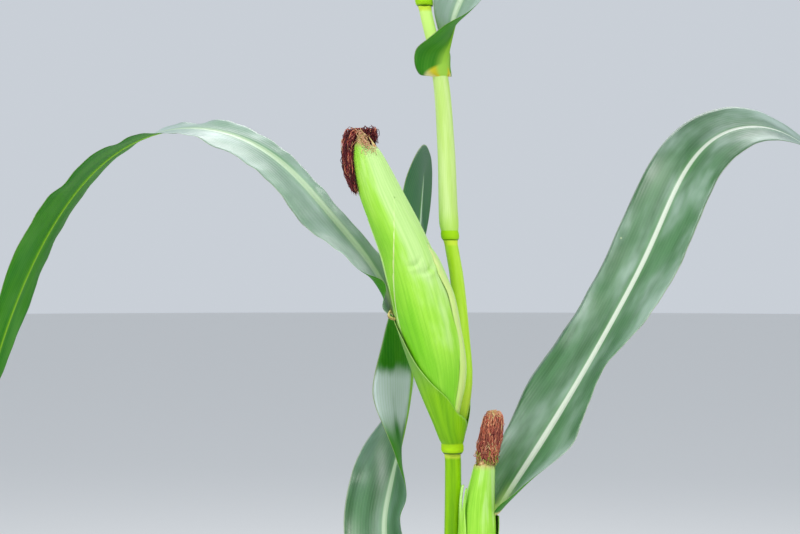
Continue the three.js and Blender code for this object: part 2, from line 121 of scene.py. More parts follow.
EAR_LEAF_TROUGH = [(0.03, 95), (0.08, 74), (0.16, 50), (0.3, 34), (1, 22)]
RUFFLE_REACH = [(0, 0), (0.03, 0), (0.1, 1), (0.55, 1), (0.85, 0.4), (1, 0)]
RUFFLE_HEIGHT = 0.13
RUFFLE_LENGTH = 58
CURL_GIRTH = [(0, 1.7), (0.6, 1.3), (1, 0.5)]

# Ears: height, then place and half width of the outline there
MAIN_EAR = [(1002, 5, -6, 7.2), (1022, -1, -16, 9.6), (1045, -5, -20, 16), (1082, -10, -24, 25.5),
            (1125, -20, -26, 30), (1191, -38.5, -27, 27.6), (1262, -68.3, -28, 22), (1298, -81, -28, 13.7),
            (1316, -87, -28, 4)]
SECOND_EAR = [(802, 6, -6, 7.2), (820, 10, -18, 9), (845, 18.5, -22, 15), (880, 26, -21, 19.6),
              (914, 30.5, -18, 18.6), (950, 32.5, -16, 15.6), (986, 37, -15, 11.2)]
EAR_FLATNESS = 0.97


def arch(heading, climb, crest, droop, sweep):
    """The stations of a leaf that climbs, arches over at a share of its length and droops."""
    falling = ((crest + 1) / 2, droop * 0.7)
    return {
        "rise": [(0, 90), (0.06, climb), (0.2, climb * 0.8), (crest, 4), falling, (1, droop)],
        "turn": [(0, heading), (0.4, heading + sweep), (1, heading + sweep * 1.3)],
        "twist": [(0, 0), (0.5, sweep), (1, -sweep)],
    }


# Leaves, lowest first. rise is the climb of the midrib in degrees at a share of its length,
# turn its heading, twist the roll of the blade about the midrib, trough its bend across, ruffle
# the share of the usual waves on its margins, and folds are bumps of one margin by themselves.
# left and right, as seen from the stalk, narrow one half of a blade. upper is the finish of the upper
# side, one of them painted with the most sheen, pale for the sky's reflection, and a leaf marked for a
# sheen band has an underside painted pale for a stretch, a painted sheen. ear is the ear in a leaf's
# sheath: its outline, the heading and the wrap of the collar in degrees, and hand, which is 1 where the
# near margin of the sheath lies anticlockwise of the collar. curl is the course of a dried curl at the
# collar.
LEAVES = [
    {"node": 225, "sheath": 72, "length": 450, "width": 55, **arch(352, 62, 0.34, -62, 6)},
    {"node": 325, "sheath": 100, "length": 580, "width": 68, **arch(168, 64, 0.36, -66, -8)},
    {"node": 455, "sheath": 128, "length": 700, "width": 78, **arch(-12, 66, 0.38, -70, 10)},
    {"node": 615, "sheath": 150, "length": 830, "width": 98, "ruffle": 0.2,
     "rise": [(0, 90), (0.04, 62), (0.1, 55), (0.19, 66), (0.25, 74), (0.33, 77), (0.45, 86), (0.55, 68),
              (0.7, 20), (0.85, -32), (1, -60)],
     "turn": [(0, 150), (0.1, 148), (0.19, 106), (0.25, 40), (0.33, 20), (0.45, 60), (0.55, 80), (0.7, 88),
              (1, 95)],
     "twist": [(0, 0), (0.1, -50), (0.19, -50), (0.25, 11), (0.29, 6), (0.33, -16), (0.38, -52),
               (0.45, -94), (0.55, -112), (0.7, -82), (0.85, -45), (1, -10)],
     "trough": [(0.03, 120), (0.1, 110), (0.2, 125), (0.35, 120), (0.45, 90), (0.6, 60), (0.8, 40), (1, 24)],
     "right": [(0, 1), (0.32, 1), (0.37, 1.1), (0.45, 0.8), (0.5, 0.62), (0.58, 0.8), (0.66, 1), (1, 1)],
     "sheen_band": True},
    {"node": 800, "sheath": 135, "length": 880, "width": 98, "ruffle": 0.25, "upper": "pale rib",
     "ear": {"outline": SECOND_EAR, "collar": 30, "spread": 100, "hand": -1},
     "rise": [(0, 58), (0.05, 53), (0.12, 53), (0.3, 55), (0.46, 55), (0.6, 12), (0.76, -38), (1, -74)],
     "turn": [(0, 20), (0.1, 26), (0.3, 32), (0.46, 38), (1, 14)],
     "twist": [(0, 0), (0.05, 18), (0.1, 24), (0.2, 14), (0.3, 16), (0.45, 34), (1, 24)],
     "trough": [(0.004, 125), (0.03, 112), (0.06, 96), (0.1, 62), (0.16, 44), (0.3, 34), (1, 22)],
     "left": [(0, 1), (0.1, 1), (0.17, 1.16), (0.22, 1.12), (0.29, 0.92), (1, 1)],
     "right": [(0, 1), (0.08, 1.04), (0.12, 1), (0.16, 0.76), (0.2, 0.58), (0.24, 0.84), (0.3, 1),
               (0.42, 0.8), (1, 1)]},
    {"node": 1000, "sheath": 133, "length": 870, "width": 95,
     "ear": {"outline": MAIN_EAR, "collar": 150, "spread": 80, "hand": 1},
     "rise": [(0, 66), (0.05, 55), (0.1, 46), (0.2, 43), (0.36, 10), (0.6, -46), (1, -80)],
     "turn": [(0, 146), (0.3, 150), (1, 158)],
     "twist": [(0, 0), (0.05, -8), (0.12, -34), (0.25, -30), (0.5, -14), (1, 10)],
     "trough": EAR_LEAF_TROUGH, "ruffle": 0.6, "folds": [(0.014, 0.009, -5), (0.035, 0.013, 9)],
     "left": [(0, 1), (0.06, 0.84), (0.3, 0.84), (0.6, 1), (1, 1)], "upper": "waxy",
     "right": [(0, 1), (0.03, 0.9), (0.08, 0.42), (0.3, 0.42), (0.55, 0.85), (1, 1)],
     "curl": [(-51, -31, 1130), (-62, -36, 1131), (-56, -37, 1139)]},
    {"node": 1212, "sheath": 161, "length": 850, "width": 98, "ruffle": 0.3,
     "rise": [(0, 90), (0.02, 80), (0.05, 76), (0.08, 68), (0.2, 54), (0.42, 4), (0.7, -52), (1, -74)],
     "turn": [(0, -60), (0.03, -46), (0.09, -14), (0.3, -10), (1, -6)],
     "twist": [(0, 0), (0.025, 4), (0.04, 38), (0.058, 54), (0.078, 66), (0.13, 64), (0.3, 24), (1, -24)],
     "trough": [(0.004, 178), (0.01, 165), (0.025, 150), (0.06, 140), (0.1, 110), (0.16, 60), (0.3, 34),
                (1, 22)], "left": [(0, 1), (0.004, 0.62), (0.05, 0.55), (0.1, 0.8), (0.16, 1), (1, 1)],
     "upper": "waxy"},
    {"node": 1446, "sheath": 150, "length": 800, "width": 95, **arch(160, 68, 0.4, -70, -14)},
    {"node": 1640, "sheath": 135, "length": 720, "width": 88, **arch(-22, 70, 0.42, -68, 12)},
    {"node": 1806, "sheath": 118, "length": 620, "width": 80, **arch(172, 72, 0.46, -60, -10)},
    {"node": 1956, "sheath": 102, "length": 500, "width": 68, **arch(-8, 74, 0.52, -46, 14)},
    {"node": 2086, "sheath": 88, "length": 380, "width": 52, **arch(184, 76, 0.6, -30, -12)},
]

# Husk leaves: foot and apex heights, heading at the foot and at the apex, half spread in degrees
# at a share of the way up, and how far the leaf stands off the innermost one there. crest is the
# shape of a blunt top, rags how uneven it is, settle how far the margins lie down on the leaf
# below, bend the course from one heading to the other, and tone the place in the list of finishes.
MAIN_HUSKS = [
    {"foot": 1010, "apex": 1299, "heading": (-135, -118), "lift": [(0, 0.7), (1, 0.7)],
     "spread": [(0, 125), (1, 118)], "rags": 1,
     "crest": [(-1, 0), (-0.6, 1), (-0.4, 7), (-0.25, 14), (-0.1, 13.5), (0.05, 11), (0.24, 7.5), (0.49, 2),
               (1, -4)]},
    {"foot": 1012, "apex": 1298, "heading": (50, 64), "lift": [(0, 0.3), (1, 0.3)],
     "spread": [(0, 112), (1, 98)], "rags": 2},
    {"foot": 1014, "apex": 1249, "heading": (-66, -62), "lift": [(0, 1.5), (0.7, 1.5), (1, 1.2)],
     "spread": [(0, 112), (0.5, 102), (0.6, 90), (0.716, 71), (0.843, 43), (0.943, 18), (0.98, 7), (1, 1)],
     "tone": 1, "settle": 0.7},
    {"foot": 1018, "apex": 1262, "heading": (120, 140), "lift": [(0, 1.3), (1, 1.3)],
     "spread": [(0, 80), (0.5, 66), (0.8, 42), (0.95, 12), (1, 1)]},
    {"foot": 1022, "apex": 1204, "heading": (33, -30),
     "lift": [(0, 2), (0.1, 3), (0.21, 4.4), (0.32, 4), (0.45, 3.2), (0.55, 3.6), (0.66, 5.2), (0.74, 5.8),
              (0.8, 5), (0.87, 4.2), (0.94, 3), (1, 1.6)],
     "bend": [(0, 0), (0.1, 0.08), (0.36, 0.2), (0.5, 0.3), (0.6, 0.365), (0.73, 0.46), (0.85, 0.62),
              (0.92, 0.76), (0.97, 0.905), (1, 1)],
     "spread": [(0, 75), (0.1, 71), (0.36, 53), (0.5, 40), (0.6, 40), (0.73, 32), (0.85, 33), (0.92, 19),
                (0.97, 9), (1, 1)], "tone": 3, "settle": 0.6},
    {"foot": 1016, "apex": 1228, "heading": (150, 165), "lift": [(0, 1.7), (0.7, 1.7), (1, 2.1)],
     "spread": [(0, 50), (0.5, 42), (0.8, 24), (0.95, 8), (1, 1)]},
]
SECOND_HUSKS = [
    {"foot": 806, "apex": 987, "heading": (-70, -80), "lift": [(0, 0.6), (1, 0.6)],
     "spread": [(0, 125), (1, 118)], "crest": [(-1, -2), (1, 2)], "rags": 1.6},
    {"foot": 808, "apex": 985, "heading": (110, 100), "lift": [(0, 0.9), (1, 0.9)],
     "spread": [(0, 112), (1, 98)], "rags": 2},
    {"foot": 812, "apex": 972, "heading": (60, 52), "lift": [(0, 1.4), (1, 1.3)],
     "spread": [(0, 80), (0.6, 62), (0.85, 30), (0.95, 10), (1, 1)]},
    {"foot": 815, "apex": 965, "heading": (196, 181), "lift": [(0, 1.6), (0.6, 2.4), (1, 8)],
     "spread": [(0, 56), (0.6, 36), (0.85, 13), (1, 1)], "settle": 0.3},
    {"foot": 812, "apex": 963, "heading": (222, 204), "lift": [(0, 2), (0.6, 2.3), (1, 5.5)],
     "spread": [(0, 46), (0.6, 26), (0.85, 9), (1, 1)], "settle": 0.3},
]
# Dry points of the inner husk leaves, which come out of the mouth of the ear
MAIN_TIPS = [
    {"foot": 1284, "apex": 1309, "heading": (-40, -25), "lift": [(0, -1.6), (0.5, -0.6), (1, 0.4)],
     "spread": [(0, 34), (0.5, 24), (0.8, 12), (1, 3)]},
    {"foot": 1284, "apex": 1308, "heading": (190, 200), "lift": [(0, -1.6), (0.5, -0.6), (1, 1.5)],
     "spread": [(0, 44), (0.5, 30), (0.8, 14), (1, 3)]},
]
SECOND_TIPS = [
    {"foot": 972, "apex": 993, "heading": (-120, -105), "lift": [(0, -1.6), (0.5, -0.6), (1, 0.6)],
     "spread": [(0, 40), (0.5, 30), (0.8, 14), (1, 3)]},
    {"foot": 972, "apex": 991, "heading": (10, -10), "lift": [(0, -1.6), (0.5, -0.6), (1, 0.6)],
     "spread": [(0, 40), (0.5, 30), (0.8, 14), (1, 3)]},
]
HUSK_THICKNESS = 0.4
HUSK_COLUMNS = 48
HUSK_ROWS = 100
HUSK_SWELL = 1
HUSK_INSET = 1.6
HUSK_MAP_RADIUS = 25
HUSK_RIB = 0.14
CORE_STEPS = 120
CORE_INSET = 0.4
THROAT_DEPTH = 5
MOUTH_DEPTH = 16
# Dents where a husk leaf buckled, with a brow beside each: place, height, half length and tilt
DENT_DEPTH = 3.4
DENT_WIDTH = 1.8
BROW_HEIGHT = 1.8
BROW_OFF = 4
BROW_WIDTH = 2.2
MAIN_DENTS = [(-33, 1183, 6, 28), (-19, 1178, 7.5, 42)]

# Silk: how many strands, and the middle and half width of a tuft at even steps along it. curl is how
# far a strand strays, rise the share of the half width by which it may lie higher or lower, and pale
# a tuft of straw-coloured strands.
SILK_RADIUS = 0.34
SILK_ROWS = 18
FINE_WELD = 0.0005
MAIN_SILK = [
    {"count": 360, "curl": 4,
     "path": [(-85, -24, 1297, 5), (-81, -22, 1309, 7.5), (-77, -22, 1313, 7), (-74, -23, 1302, 4.5)]},
    {"count": 520, "curl": 5,
     "path": [(-86, -26, 1298, 5), (-88, -27, 1311, 7.5), (-94, -29, 1310, 6.5), (-97.5, -31, 1299, 5),
              (-98, -33, 1283, 3.8), (-95, -34, 1267, 2.4), (-89.5, -35, 1251, 0.8)]},
    {"count": 18, "curl": 5, "pale": True,
     "path": [(-88, -37, 1316, 3), (-84, -41, 1307, 5), (-80, -43, 1298, 7), (-77, -44, 1289, 8)]},
]
SECOND_SILK = [
    {"count": 900, "curl": 3.2, "rise": 0.25,
     "path": [(38, -15, 980, 8.5), (40, -15, 998, 10.5), (43, -15, 1014, 11), (45, -15, 1027, 9.8),
              (46, -15, 1035, 6.5), (46.3, -15, 1038, 3)]},
    {"count": 130, "curl": 4, "rise": 0.25,
     "path": [(39, -16, 984, 9), (38.5, -18, 992, 10.5), (39, -18, 1000, 11), (41, -17, 1012, 11)]},
]

# Tassel
TASSEL_TOP = 2520
SPIKE_FOOT = (-58, 18)
SPIKE_TIP = (-76, 26)
SPIKE_TOP = TASSEL_TOP - 6
SPIKE_GIRTH = [(0, 2.6), (0.35, 2.2), (1, 0.7)]
TASSEL_BRANCHES = 9
BRANCH_HEIGHTS = (2248, 2334)
BRANCH_HEADING = 20
GOLDEN_TURN = 137.5
BRANCH_LENGTH = (235, 150)
BRANCH_COURSE = [(0, 0), (0.4, 0.62), (0.85, 0.55)]
BRANCH_GIRTH = [(0, 1.5), (1, 0.6)]
FLOWER_STEP = 4.4

# Photograph: the camera stands level, 1.6 m in front of the stalk
CAMERA_PLACE = (-0.047, -1.6, 1.181)
CAMERA_LENS = 72
CAMERA_SENSOR = 36

# Sky colour and strength, floor, and softboxes: place, side in metres and power in watts
SKY = ((0.86, 0.92, 1, 1), 0.68)
FLOOR_COLOUR = (0.8, 0.8, 0.79, 1)
FLOOR_RADIUS = 40
LAMP_AIM = (0, 0, 1.2)
SOFTBOXES = [((1.5, -3.3, 4.4), 2.6, 145), ((-3.2, -1.8, 3.6), 2.5, 80), ((0.5, 3, 4.4), 3, 90)]


def mix(low, high, share):
    return low + (high - low) * share


def ease(low, high, value):
    """0 below low, 1 above high, and smooth between them."""
    share = min(max((value - low) / (high - low), 0), 1)
    return share * share * (3 - 2 * share)


def through(stations):
    """A smooth line through (place, value) stations."""
    last = len(stations) - 1

    def secant(i):
        (start, low), (end, high) = stations[i], stations[i + 1]
        return (high - low) / (end - start)

    slopes = [secant(0)] + [(secant(i - 1) + secant(i)) / 2 for i in range(1, last)]
    slopes.append(secant(last - 1))

    def line(place):
        i = 0
        while i < last - 1 and place > stations[i + 1][0]:
            i += 1
        (start, low), (end, high) = stations[i], stations[i + 1]
        span = end - start
        t = min(max((place - start) / span, 0), 1)
        rest = 1 - t
        level = rest * rest * (1 + 2 * t) * low + t * t * (3 - 2 * t) * high
        return level + rest * rest * t * span * slopes[i] - t * t * rest * span * slopes[i + 1]

    return line


def bell(value, width):
    return exp(-((value / width) ** 2))


def face_of(t):
    """Share across, from -1 to 1, and side, 1 above or -1 below, of a corner of a closed thin leaf."""
    return (2 * t + 1, 1) if t < 0 else (1 - 2 * t, -1)


def skin(bm, columns, rows, place, flat=None, finish=None):
    """A sheet of columns by rows faces: place(u, v) puts each corner, with u from -1 to 1 and v from 0 to 1,
    flat(u, v) gives its maps, and finish(u, v) the material of a face."""
    made = bmesh.ops.create_grid(bm, x_segments=columns, y_segments=rows, size=1)["verts"]
    spots = {}
    for vert in made:
        u = round((vert.co.x + 1) / 2 * columns) / columns * 2 - 1
        v = round((vert.co.y + 1) / 2 * rows) / rows
        spots[vert] = (u, v)
    faces = {face for vert in made for face in vert.link_faces}
    span = bm.loops.layers.uv.get("span") or bm.loops.layers.uv.new("span")
    share = bm.loops.layers.uv.get("share") or bm.loops.layers.uv.new("share")
    for face in faces:
        if finish:
            us = [spots[vert][0] for vert in face.verts]
            vs = [spots[vert][1] for vert in face.verts]
            face.material_index = finish(sum(us) / len(us), sum(vs) / len(vs))
        if flat:
            for loop in face.loops:
                across, along, u, v = flat(*spots[loop.vert])
                loop[span].uv = (across * MM, along * MM)
                loop[share].uv = (u, v)
    for vert, (u, v) in spots.items():
        vert.co = place(u, v)


def placed(name, data):
    """A new object in the scene."""
    made = bpy.data.objects.new(name, data)
    bpy.context.scene.collection.objects.link(made)
    return made


def drawn(name, bm, finishes):
    """The mesh with its materials, as an object in the scene."""
    mesh = bpy.data.meshes.new(name)
    bm.to_mesh(mesh)
    bm.free()
    for finish in finishes:
        mesh.materials.append(finish)
    return placed(name, mesh)


def piece(name, bm, finishes, nodes, weld=0.002):
    """The finished mesh in metres, riding on the plant, in the place of the CAD nodes that it stands for."""
    bmesh.ops.remove_doubles(bm, verts=bm.verts, dist=weld)
    bmesh.ops.recalc_face_normals(bm, faces=bm.faces)
    bmesh.ops.scale(bm, vec=(MM, MM, MM), verts=bm.verts)
    for face in bm.faces:
        face.smooth = True
    made = drawn(name, bm, finishes)
    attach(made, "root")
    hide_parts(*nodes)


# Materials

def colour(red, green, blue):
    """A colour given as it looks, from 0 to 255, as the shader takes it."""
    def linear(value):
        value /= 255
        return value / 12.92 if value <= 0.04045 else ((value + 0.055) / 1.055) ** 2.4

    return (linear(red), linear(green), linear(blue), 1)


class Nodes:
    """A node tree with short ways to add to it. A tone is three numbers from 0 to 255, or a socket."""

    def __init__(self, tree):
        self.tree = tree

    def add(self, kind, sockets, **settings):
        """A node of a kind, with its settings, and its sockets linked or set."""
        made = self.tree.nodes.new(kind)
        for key, value in settings.items():
            setattr(made, key, value)
        for key, value in sockets.items():
            if isinstance(value, bpy.types.NodeSocket):
                self.tree.links.new(value, made.inputs[key])
            else:
                made.inputs[key].default_value = value
        return made

    def maths(self, operation, *values, clamp=False):
        sockets = dict(enumerate(values))
        return self.add("ShaderNodeMath", sockets, operation=operation, use_clamp=clamp).outputs[0]

    def times(self, first, second):
        return self.maths("MULTIPLY", first, second)

    def blend(self, share, first, second):
        """The first tone, turning into the second as share goes from 0 to 1."""
        low, high = (colour(*tone) if isinstance(tone, tuple) else tone for tone in (first, second))
        return self.add("ShaderNodeMix", {0: share, 6: low, 7: high}, data_type="RGBA").outputs[2]

    def graded(self, value, low, high, start=0, end=1):
        sockets = {"Value": value, "From Min": low, "From Max": high, "To Min": start, "To Max": end}
        return self.add("ShaderNodeMapRange", sockets, interpolation_type="SMOOTHSTEP").outputs[0]

    def spot(self, across, along):
        return self.add("ShaderNodeCombineXYZ", {0: across, 1: along}).outputs[0]

    def noise(self, spot, detail, scale=1):
        return self.add("ShaderNodeTexNoise", {"Vector": spot, "Scale": scale, "Detail": detail}).outputs[0]


def group(name, outputs, **inputs):
    """An empty node group with named sockets: its nodes, what it is given and what it gives."""
    tree = bpy.data.node_groups.new(name, "ShaderNodeTree")
    for label, value in inputs.items():
        socket = tree.interface.new_socket(label, in_out="INPUT", socket_type="NodeSocketFloat")
        socket.default_value = value
    for label in outputs:
        tree.interface.new_socket(label, in_out="OUTPUT", socket_type="NodeSocketFloat")
    nodes = Nodes(tree)
    return nodes, nodes.add("NodeGroupInput", {}).outputs, nodes.add("NodeGroupOutput", {}).inputs


def veins_group():
    """Fine veins that run along a leaf, at an even spacing across it, a little wavy and uneven."""
    nodes, given, out = group("fine veins", ("Height", "Line"), Across=0, Along=0, Spacing=0.003, Waver=0.3)
    along = nodes.times(given["Along"], 6)
    across = nodes.times(given["Across"], 60)
    drift = nodes.maths("SUBTRACT", nodes.noise(nodes.spot(across, along), 2), 0.5)
    drift = nodes.times(drift, given["Waver"])
    turns = nodes.maths("ADD", nodes.maths("DIVIDE", given["Across"], given["Spacing"]), drift)
    height = nodes.maths("MULTIPLY_ADD", nodes.maths("SINE", nodes.times(turns, 2 * pi)), 0.5, 0.5)
    nodes.tree.links.new(height, out["Height"])
    nodes.tree.links.new(nodes.maths("POWER", height, 6), out["Line"])
    return nodes.tree


def mottle_group():
    """Soft patches, drawn out along a leaf by Stretch."""
    nodes, given, out = group("mottle", ("Share",), Across=0, Along=0, Size=0.02, Stretch=4)
    long = nodes.times(given["Size"], given["Stretch"])
    across = nodes.maths("DIVIDE", given["Across"], given["Size"])
    along = nodes.maths("DIVIDE", given["Along"], long)
    patch = nodes.noise(nodes.spot(across, along), 3)
    nodes.tree.links.new(nodes.graded(patch, 0.3, 0.7), out["Share"])
    return nodes.tree


def specks_group():
    """Scattered small round spots: Share is how many of the places hold one."""
    nodes, given, out = group("specks", ("Mask",), Across=0, Along=0, Size=0.02, Radius=0.1, Share=0.1)
    spot = nodes.spot(given["Across"], given["Along"])
    scale = nodes.maths("DIVIDE", 1, given["Size"])
    cells = nodes.add("ShaderNodeTexVoronoi", {"Vector": spot, "Scale": scale}).outputs
    near = nodes.graded(cells["Distance"], given["Radius"], nodes.times(given["Radius"], 0.6))
    pick = nodes.add("ShaderNodeSeparateColor", {0: cells["Color"]}).outputs[0]
    held = nodes.maths("LESS_THAN", pick, given["Share"])
    nodes.tree.links.new(nodes.times(near, held), out["Mask"])
    return nodes.tree


VEINS = veins_group()
MOTTLE = mottle_group()
SPECKS = specks_group()


class Finish(Nodes):
    """A material in the making. base is its colour so far. across and along are the place on a piece
    in metres, u and v its shares there, and side the share from the middle line out."""

    def __init__(self, name, roughness, specular, sockets=None, mapped=True):
        self.made = bpy.data.materials.new(name)
        self.made.use_nodes = True
        super().__init__(self.made.node_tree)
        self.tree.nodes.clear()
        sockets = {"Roughness": roughness, "Specular IOR Level": specular, **(sockets or {})}
        self.shader = self.add("ShaderNodeBsdfPrincipled", sockets)
        self.output = self.add("ShaderNodeOutputMaterial", {0: self.shader.outputs[0]})
        if mapped:
            found = []
            for layer in ("span", "share"):
                spot = self.add("ShaderNodeUVMap", {}, uv_map=layer).outputs[0]
                found += list(self.add("ShaderNodeSeparateXYZ", {0: spot}).outputs)[:2]
            self.across, self.along, self.u, self.v = found
            self.side = self.maths("ABSOLUTE", self.u)

    def use(self, what, **sockets):
        """A node group laid over the piece."""
        sockets = {"Across": self.across, "Along": self.along, **sockets}
        return self.add("ShaderNodeGroup", sockets, node_tree=what).outputs

    def mottle(self, size, stretch):
        return self.use(MOTTLE, Size=size, Stretch=stretch)[0]

    def veins(self, spacing, waver):
        return self.use(VEINS, Spacing=spacing, Waver=waver)

    def paint(self, mask, tone, amount=1):
        """Lays a tone over the base where the mask is, up to an amount."""
        mask = mask if amount == 1 else self.times(mask, amount)
        self.base = self.blend(mask, self.base, tone)

    def done(self, height=None, strength=0, distance=0, glow=0):
        """The finished material, with a relief, and with a glow: the share of the light let through."""
        self.tree.links.new(self.base, self.shader.inputs["Base Color"])
        if height is not None:
            bump = self.add("ShaderNodeBump", {"Height": height, "Strength": strength, "Distance": distance})
            self.tree.links.new(bump.outputs[0], self.shader.inputs["Normal"])
        if glow:
            lit = self.add("ShaderNodeBsdfTranslucent", {"Color": self.base}).outputs[0]
            both = self.add("ShaderNodeMixShader", {0: glow, 1: self.shader.outputs[0], 2: lit})
            self.tree.links.new(both.outputs[0], self.output.inputs[0])
        return self.made


def painted_sheen(made, least, most):
    """The share of painted sheen, pale patches that stand for the sky's reflection, in broad soft patches
    along a leaf.
    """
    patch = made.mottle(0.035, 3)
    return made.maths("MULTIPLY_ADD", made.maths("POWER", patch, 2), most - least, least)


def leaf_veins(made, large_tone, fine_tone, fine_share):
    """Large veins with fine ones between them, in their tones. Gives their height."""
    large = made.veins(0.0031, 0.5)
    fine = made.veins(0.0011, 0.6)
    made.paint(large["Line"], large_tone, 0.16)
    made.paint(fine["Line"], fine_tone, fine_share)
    return made.maths("MULTIPLY_ADD", fine["Height"], 0.4, large["Height"])


def leaf_lines(made, foot, tip, beside, rib, margin, keel):
    """Midrib with half its width at foot and tip, the strip beside it, the margin, and the base of the
    blade, where the sheath's colour runs out along the keel between yellow wedges with cream corners.
    beside and rib are a reach, a share and a tone, and margin a share and a tone."""
    off_rib = made.maths("ABSOLUTE", made.across)
    past = made.maths("SUBTRACT", off_rib, made.graded(made.v, 0, 0.9, foot, tip))
    made.paint(made.graded(past, beside[0], 0, 0, beside[1]), beside[2])
    made.paint(made.graded(past, rib[0], -0.0006, 0, rib[1]), rib[2])
    made.paint(made.graded(made.side, 0.968, 0.986, 0, margin[0]), margin[1])
    near = made.graded(made.along, 0.045, 0.004)
    made.paint(made.times(near, made.graded(off_rib, 0.013, 0.002)), keel)
    reach = made.maths("MULTIPLY_ADD", made.side, 0.011, made.along)
    inner = made.blend(made.graded(made.side, 0.18, 0.4), keel, (222, 210, 50))
    band = made.blend(made.graded(made.side, 0.45, 0.8), inner, (240, 232, 170))
    made.paint(made.graded(reach, 0.0155, 0.012), band)


LEAF_GLOSS = {"Sheen Weight": 0.32, "Sheen Roughness": 0.4, "Sheen Tint": (0.74, 0.86, 1, 1),
              "Coat Weight": 0.5, "Coat Roughness": 0.35, "Coat IOR": 1.7}


def leaf_upper(name, least, most, sheen_tone, rib=(196, 218, 180)):
    """Blue-green upper side with a pale midrib, faint veins, a thin pale margin and painted sheen: pale
    bluish patches that stand for the sky's reflection.
    """
    made = Finish(name, 0.36, 0.6, LEAF_GLOSS)
    patch = made.mottle(0.014, 9)
    made.base = made.blend(patch, (30, 98, 30), (64, 126, 66))
    # Painted sheen: pale bluish patches for the sky's reflection on the upper side
    made.paint(painted_sheen(made, least, most), sheen_tone)
    height = leaf_veins(made, (120, 168, 116), (150, 190, 140), 0.08)
    leaf_lines(made, 0.0034, 0.0007, (0.006, 0.4, (96, 156, 84)), (0.001, 0.8, rib),
               (0.75, (206, 226, 186)), (196, 222, 130))
    bites = made.use(SPECKS, Size=0.03, Radius=0.05, Share=0.12)[0]
    made.paint(bites, (206, 218, 170), 0.6)
    made.tree.links.new(made.graded(patch, 0, 1, 0.3, 0.44), made.shader.inputs["Roughness"])
    return made.done(height, 0.3, 0.0003, 0.18)


def leaf_under(name, sheen_span):
    """Bright green underside with a raised yellow-green midrib. Given two shares of its length, it is
    painted pale bluish between them, a painted sheen for the sky's reflection, and blue-green with a pale
    midrib towards its tip."""
    made = Finish(name, 0.5, 0.12, {"Coat Weight": 0.08, "Coat Roughness": 0.3})
    patch = made.mottle(0.016, 8)
    made.base = made.blend(patch, (30, 130, 0), (66, 150, 8))
    # Faint painted sheen: pale patches for the sky's reflection on the underside
    made.paint(painted_sheen(made, 0, 0.12), (140, 186, 130))
    rib = (150, 206, 44)
    if sheen_span:
        first, last = sheen_span
        # Painted sheen: a broken near-white band for the sky's reflection
        band = made.times(made.graded(made.v, first, first + 0.05), made.graded(made.v, last, last - 0.03))
        broken_sheen = made.graded(made.maths("MULTIPLY_ADD", patch, 0.9, band), 0.45, 1.35)
        made.paint(made.times(broken_sheen, band), (234, 246, 246))
        made.paint(made.graded(made.v, 0.46, 0.52, 0, 0.75), (74, 116, 96))
        rib = made.blend(made.graded(made.v, 0.46, 0.52), rib, (206, 232, 200))
    height = leaf_veins(made, (126, 184, 60), (130, 190, 70), 0.1)
    leaf_lines(made, 0.0036, 0.0008, (0.005, 0.35, (110, 180, 30)), (0.0014, 0.9, rib),
               (0.7, (186, 214, 140)), (176, 224, 84))
    return made.done(height, 0.26, 0.0003, 0.3)


def sheath_ring(made, tone):
    """A vivid ring at the foot of a sheath and a painted shadow line under it, where the ring overhangs the
    stalk.
    """
    made.paint(made.graded(made.along, 0.0062, 0.0046), tone)
    # Painted shadow: a dark line under the ring
    made.paint(made.graded(made.along, -0.003, -0.0042), (92, 132, 12))


def sheath_finish():
    """Pale lime sheath with fine veins and a pale margin."""
    made = Finish("sheath", 0.46, 0.2)
    made.base = made.blend(made.mottle(0.006, 14), (190, 224, 112), (213, 238, 156))
    veins = made.veins(0.0013, 0.5)
    made.paint(veins["Line"], (150, 205, 70), 0.25)
    made.paint(made.graded(made.along, 0.028, 0.008), (176, 226, 60), 0.45)
    sheath_ring(made, (162, 216, 14))
    made.paint(made.graded(made.side, 0.955, 0.985), (214, 236, 168), 0.85)
    return made.done(veins["Height"], 0.25, 0.0003, 0.12)


def ear_sheath_finish():
    """Sheath round an ear: greyer green above, bright below, with a pale margin."""
    made = Finish("ear sheath", 0.46, 0.16)
    patch = made.mottle(0.007, 14)
    bright = made.blend(patch, (108, 176, 0), (142, 204, 14))
    grey = made.blend(patch, (84, 144, 16), (124, 174, 84))
    made.base = made.blend(made.graded(made.v, 0.4, 0.75), bright, grey)
    veins = made.veins(0.0016, 0.5)
    made.paint(veins["Line"], (180, 228, 90), 0.2)
    sheath_ring(made, (172, 222, 20))
    edge = made.times(made.graded(made.side, 0.965, 0.985), made.graded(made.v, 0.3, 0.8, 0.2, 0.8))
    made.paint(edge, (196, 232, 130))
    return made.done(veins["Height"], 0.3, 0.0004, 0.12)


def stalk_finish():
    """Bright yellow-green rind with fine ribs, lighter by the nodes and dull near the ground. It is lighter
    upwards too, partly its own colour and partly painted light: the darker rind below the ear is painted
    shade.
    """
    made = Finish("stalk", 0.4, 0.2)
    patch = made.mottle(0.006, 12)
    # Darker base for the rind below the ear, partly painted shade; lighter above 1 m and again above 1.4 m
    made.base = made.blend(patch, (104, 160, 0), (138, 192, 4))
    made.paint(made.graded(made.along, 0.99, 1.1), made.blend(patch, (162, 208, 36), (180, 220, 70)))
    made.paint(made.graded(made.along, 1.36, 1.4), (196, 234, 120))
    made.paint(made.graded(made.u, 0.55, 0.85), (196, 222, 60))
    made.paint(made.graded(made.along, 0.42, 0.05), (150, 150, 60), 0.55)
    off = made.maths("ABSOLUTE", made.maths("SUBTRACT", made.along, 1.05))
    made.paint(made.graded(off, 0.03, 0), (180, 200, 60), 0.55)
    return made.done(made.veins(0.001, 0.4)["Height"], 0.2, 0.0003)


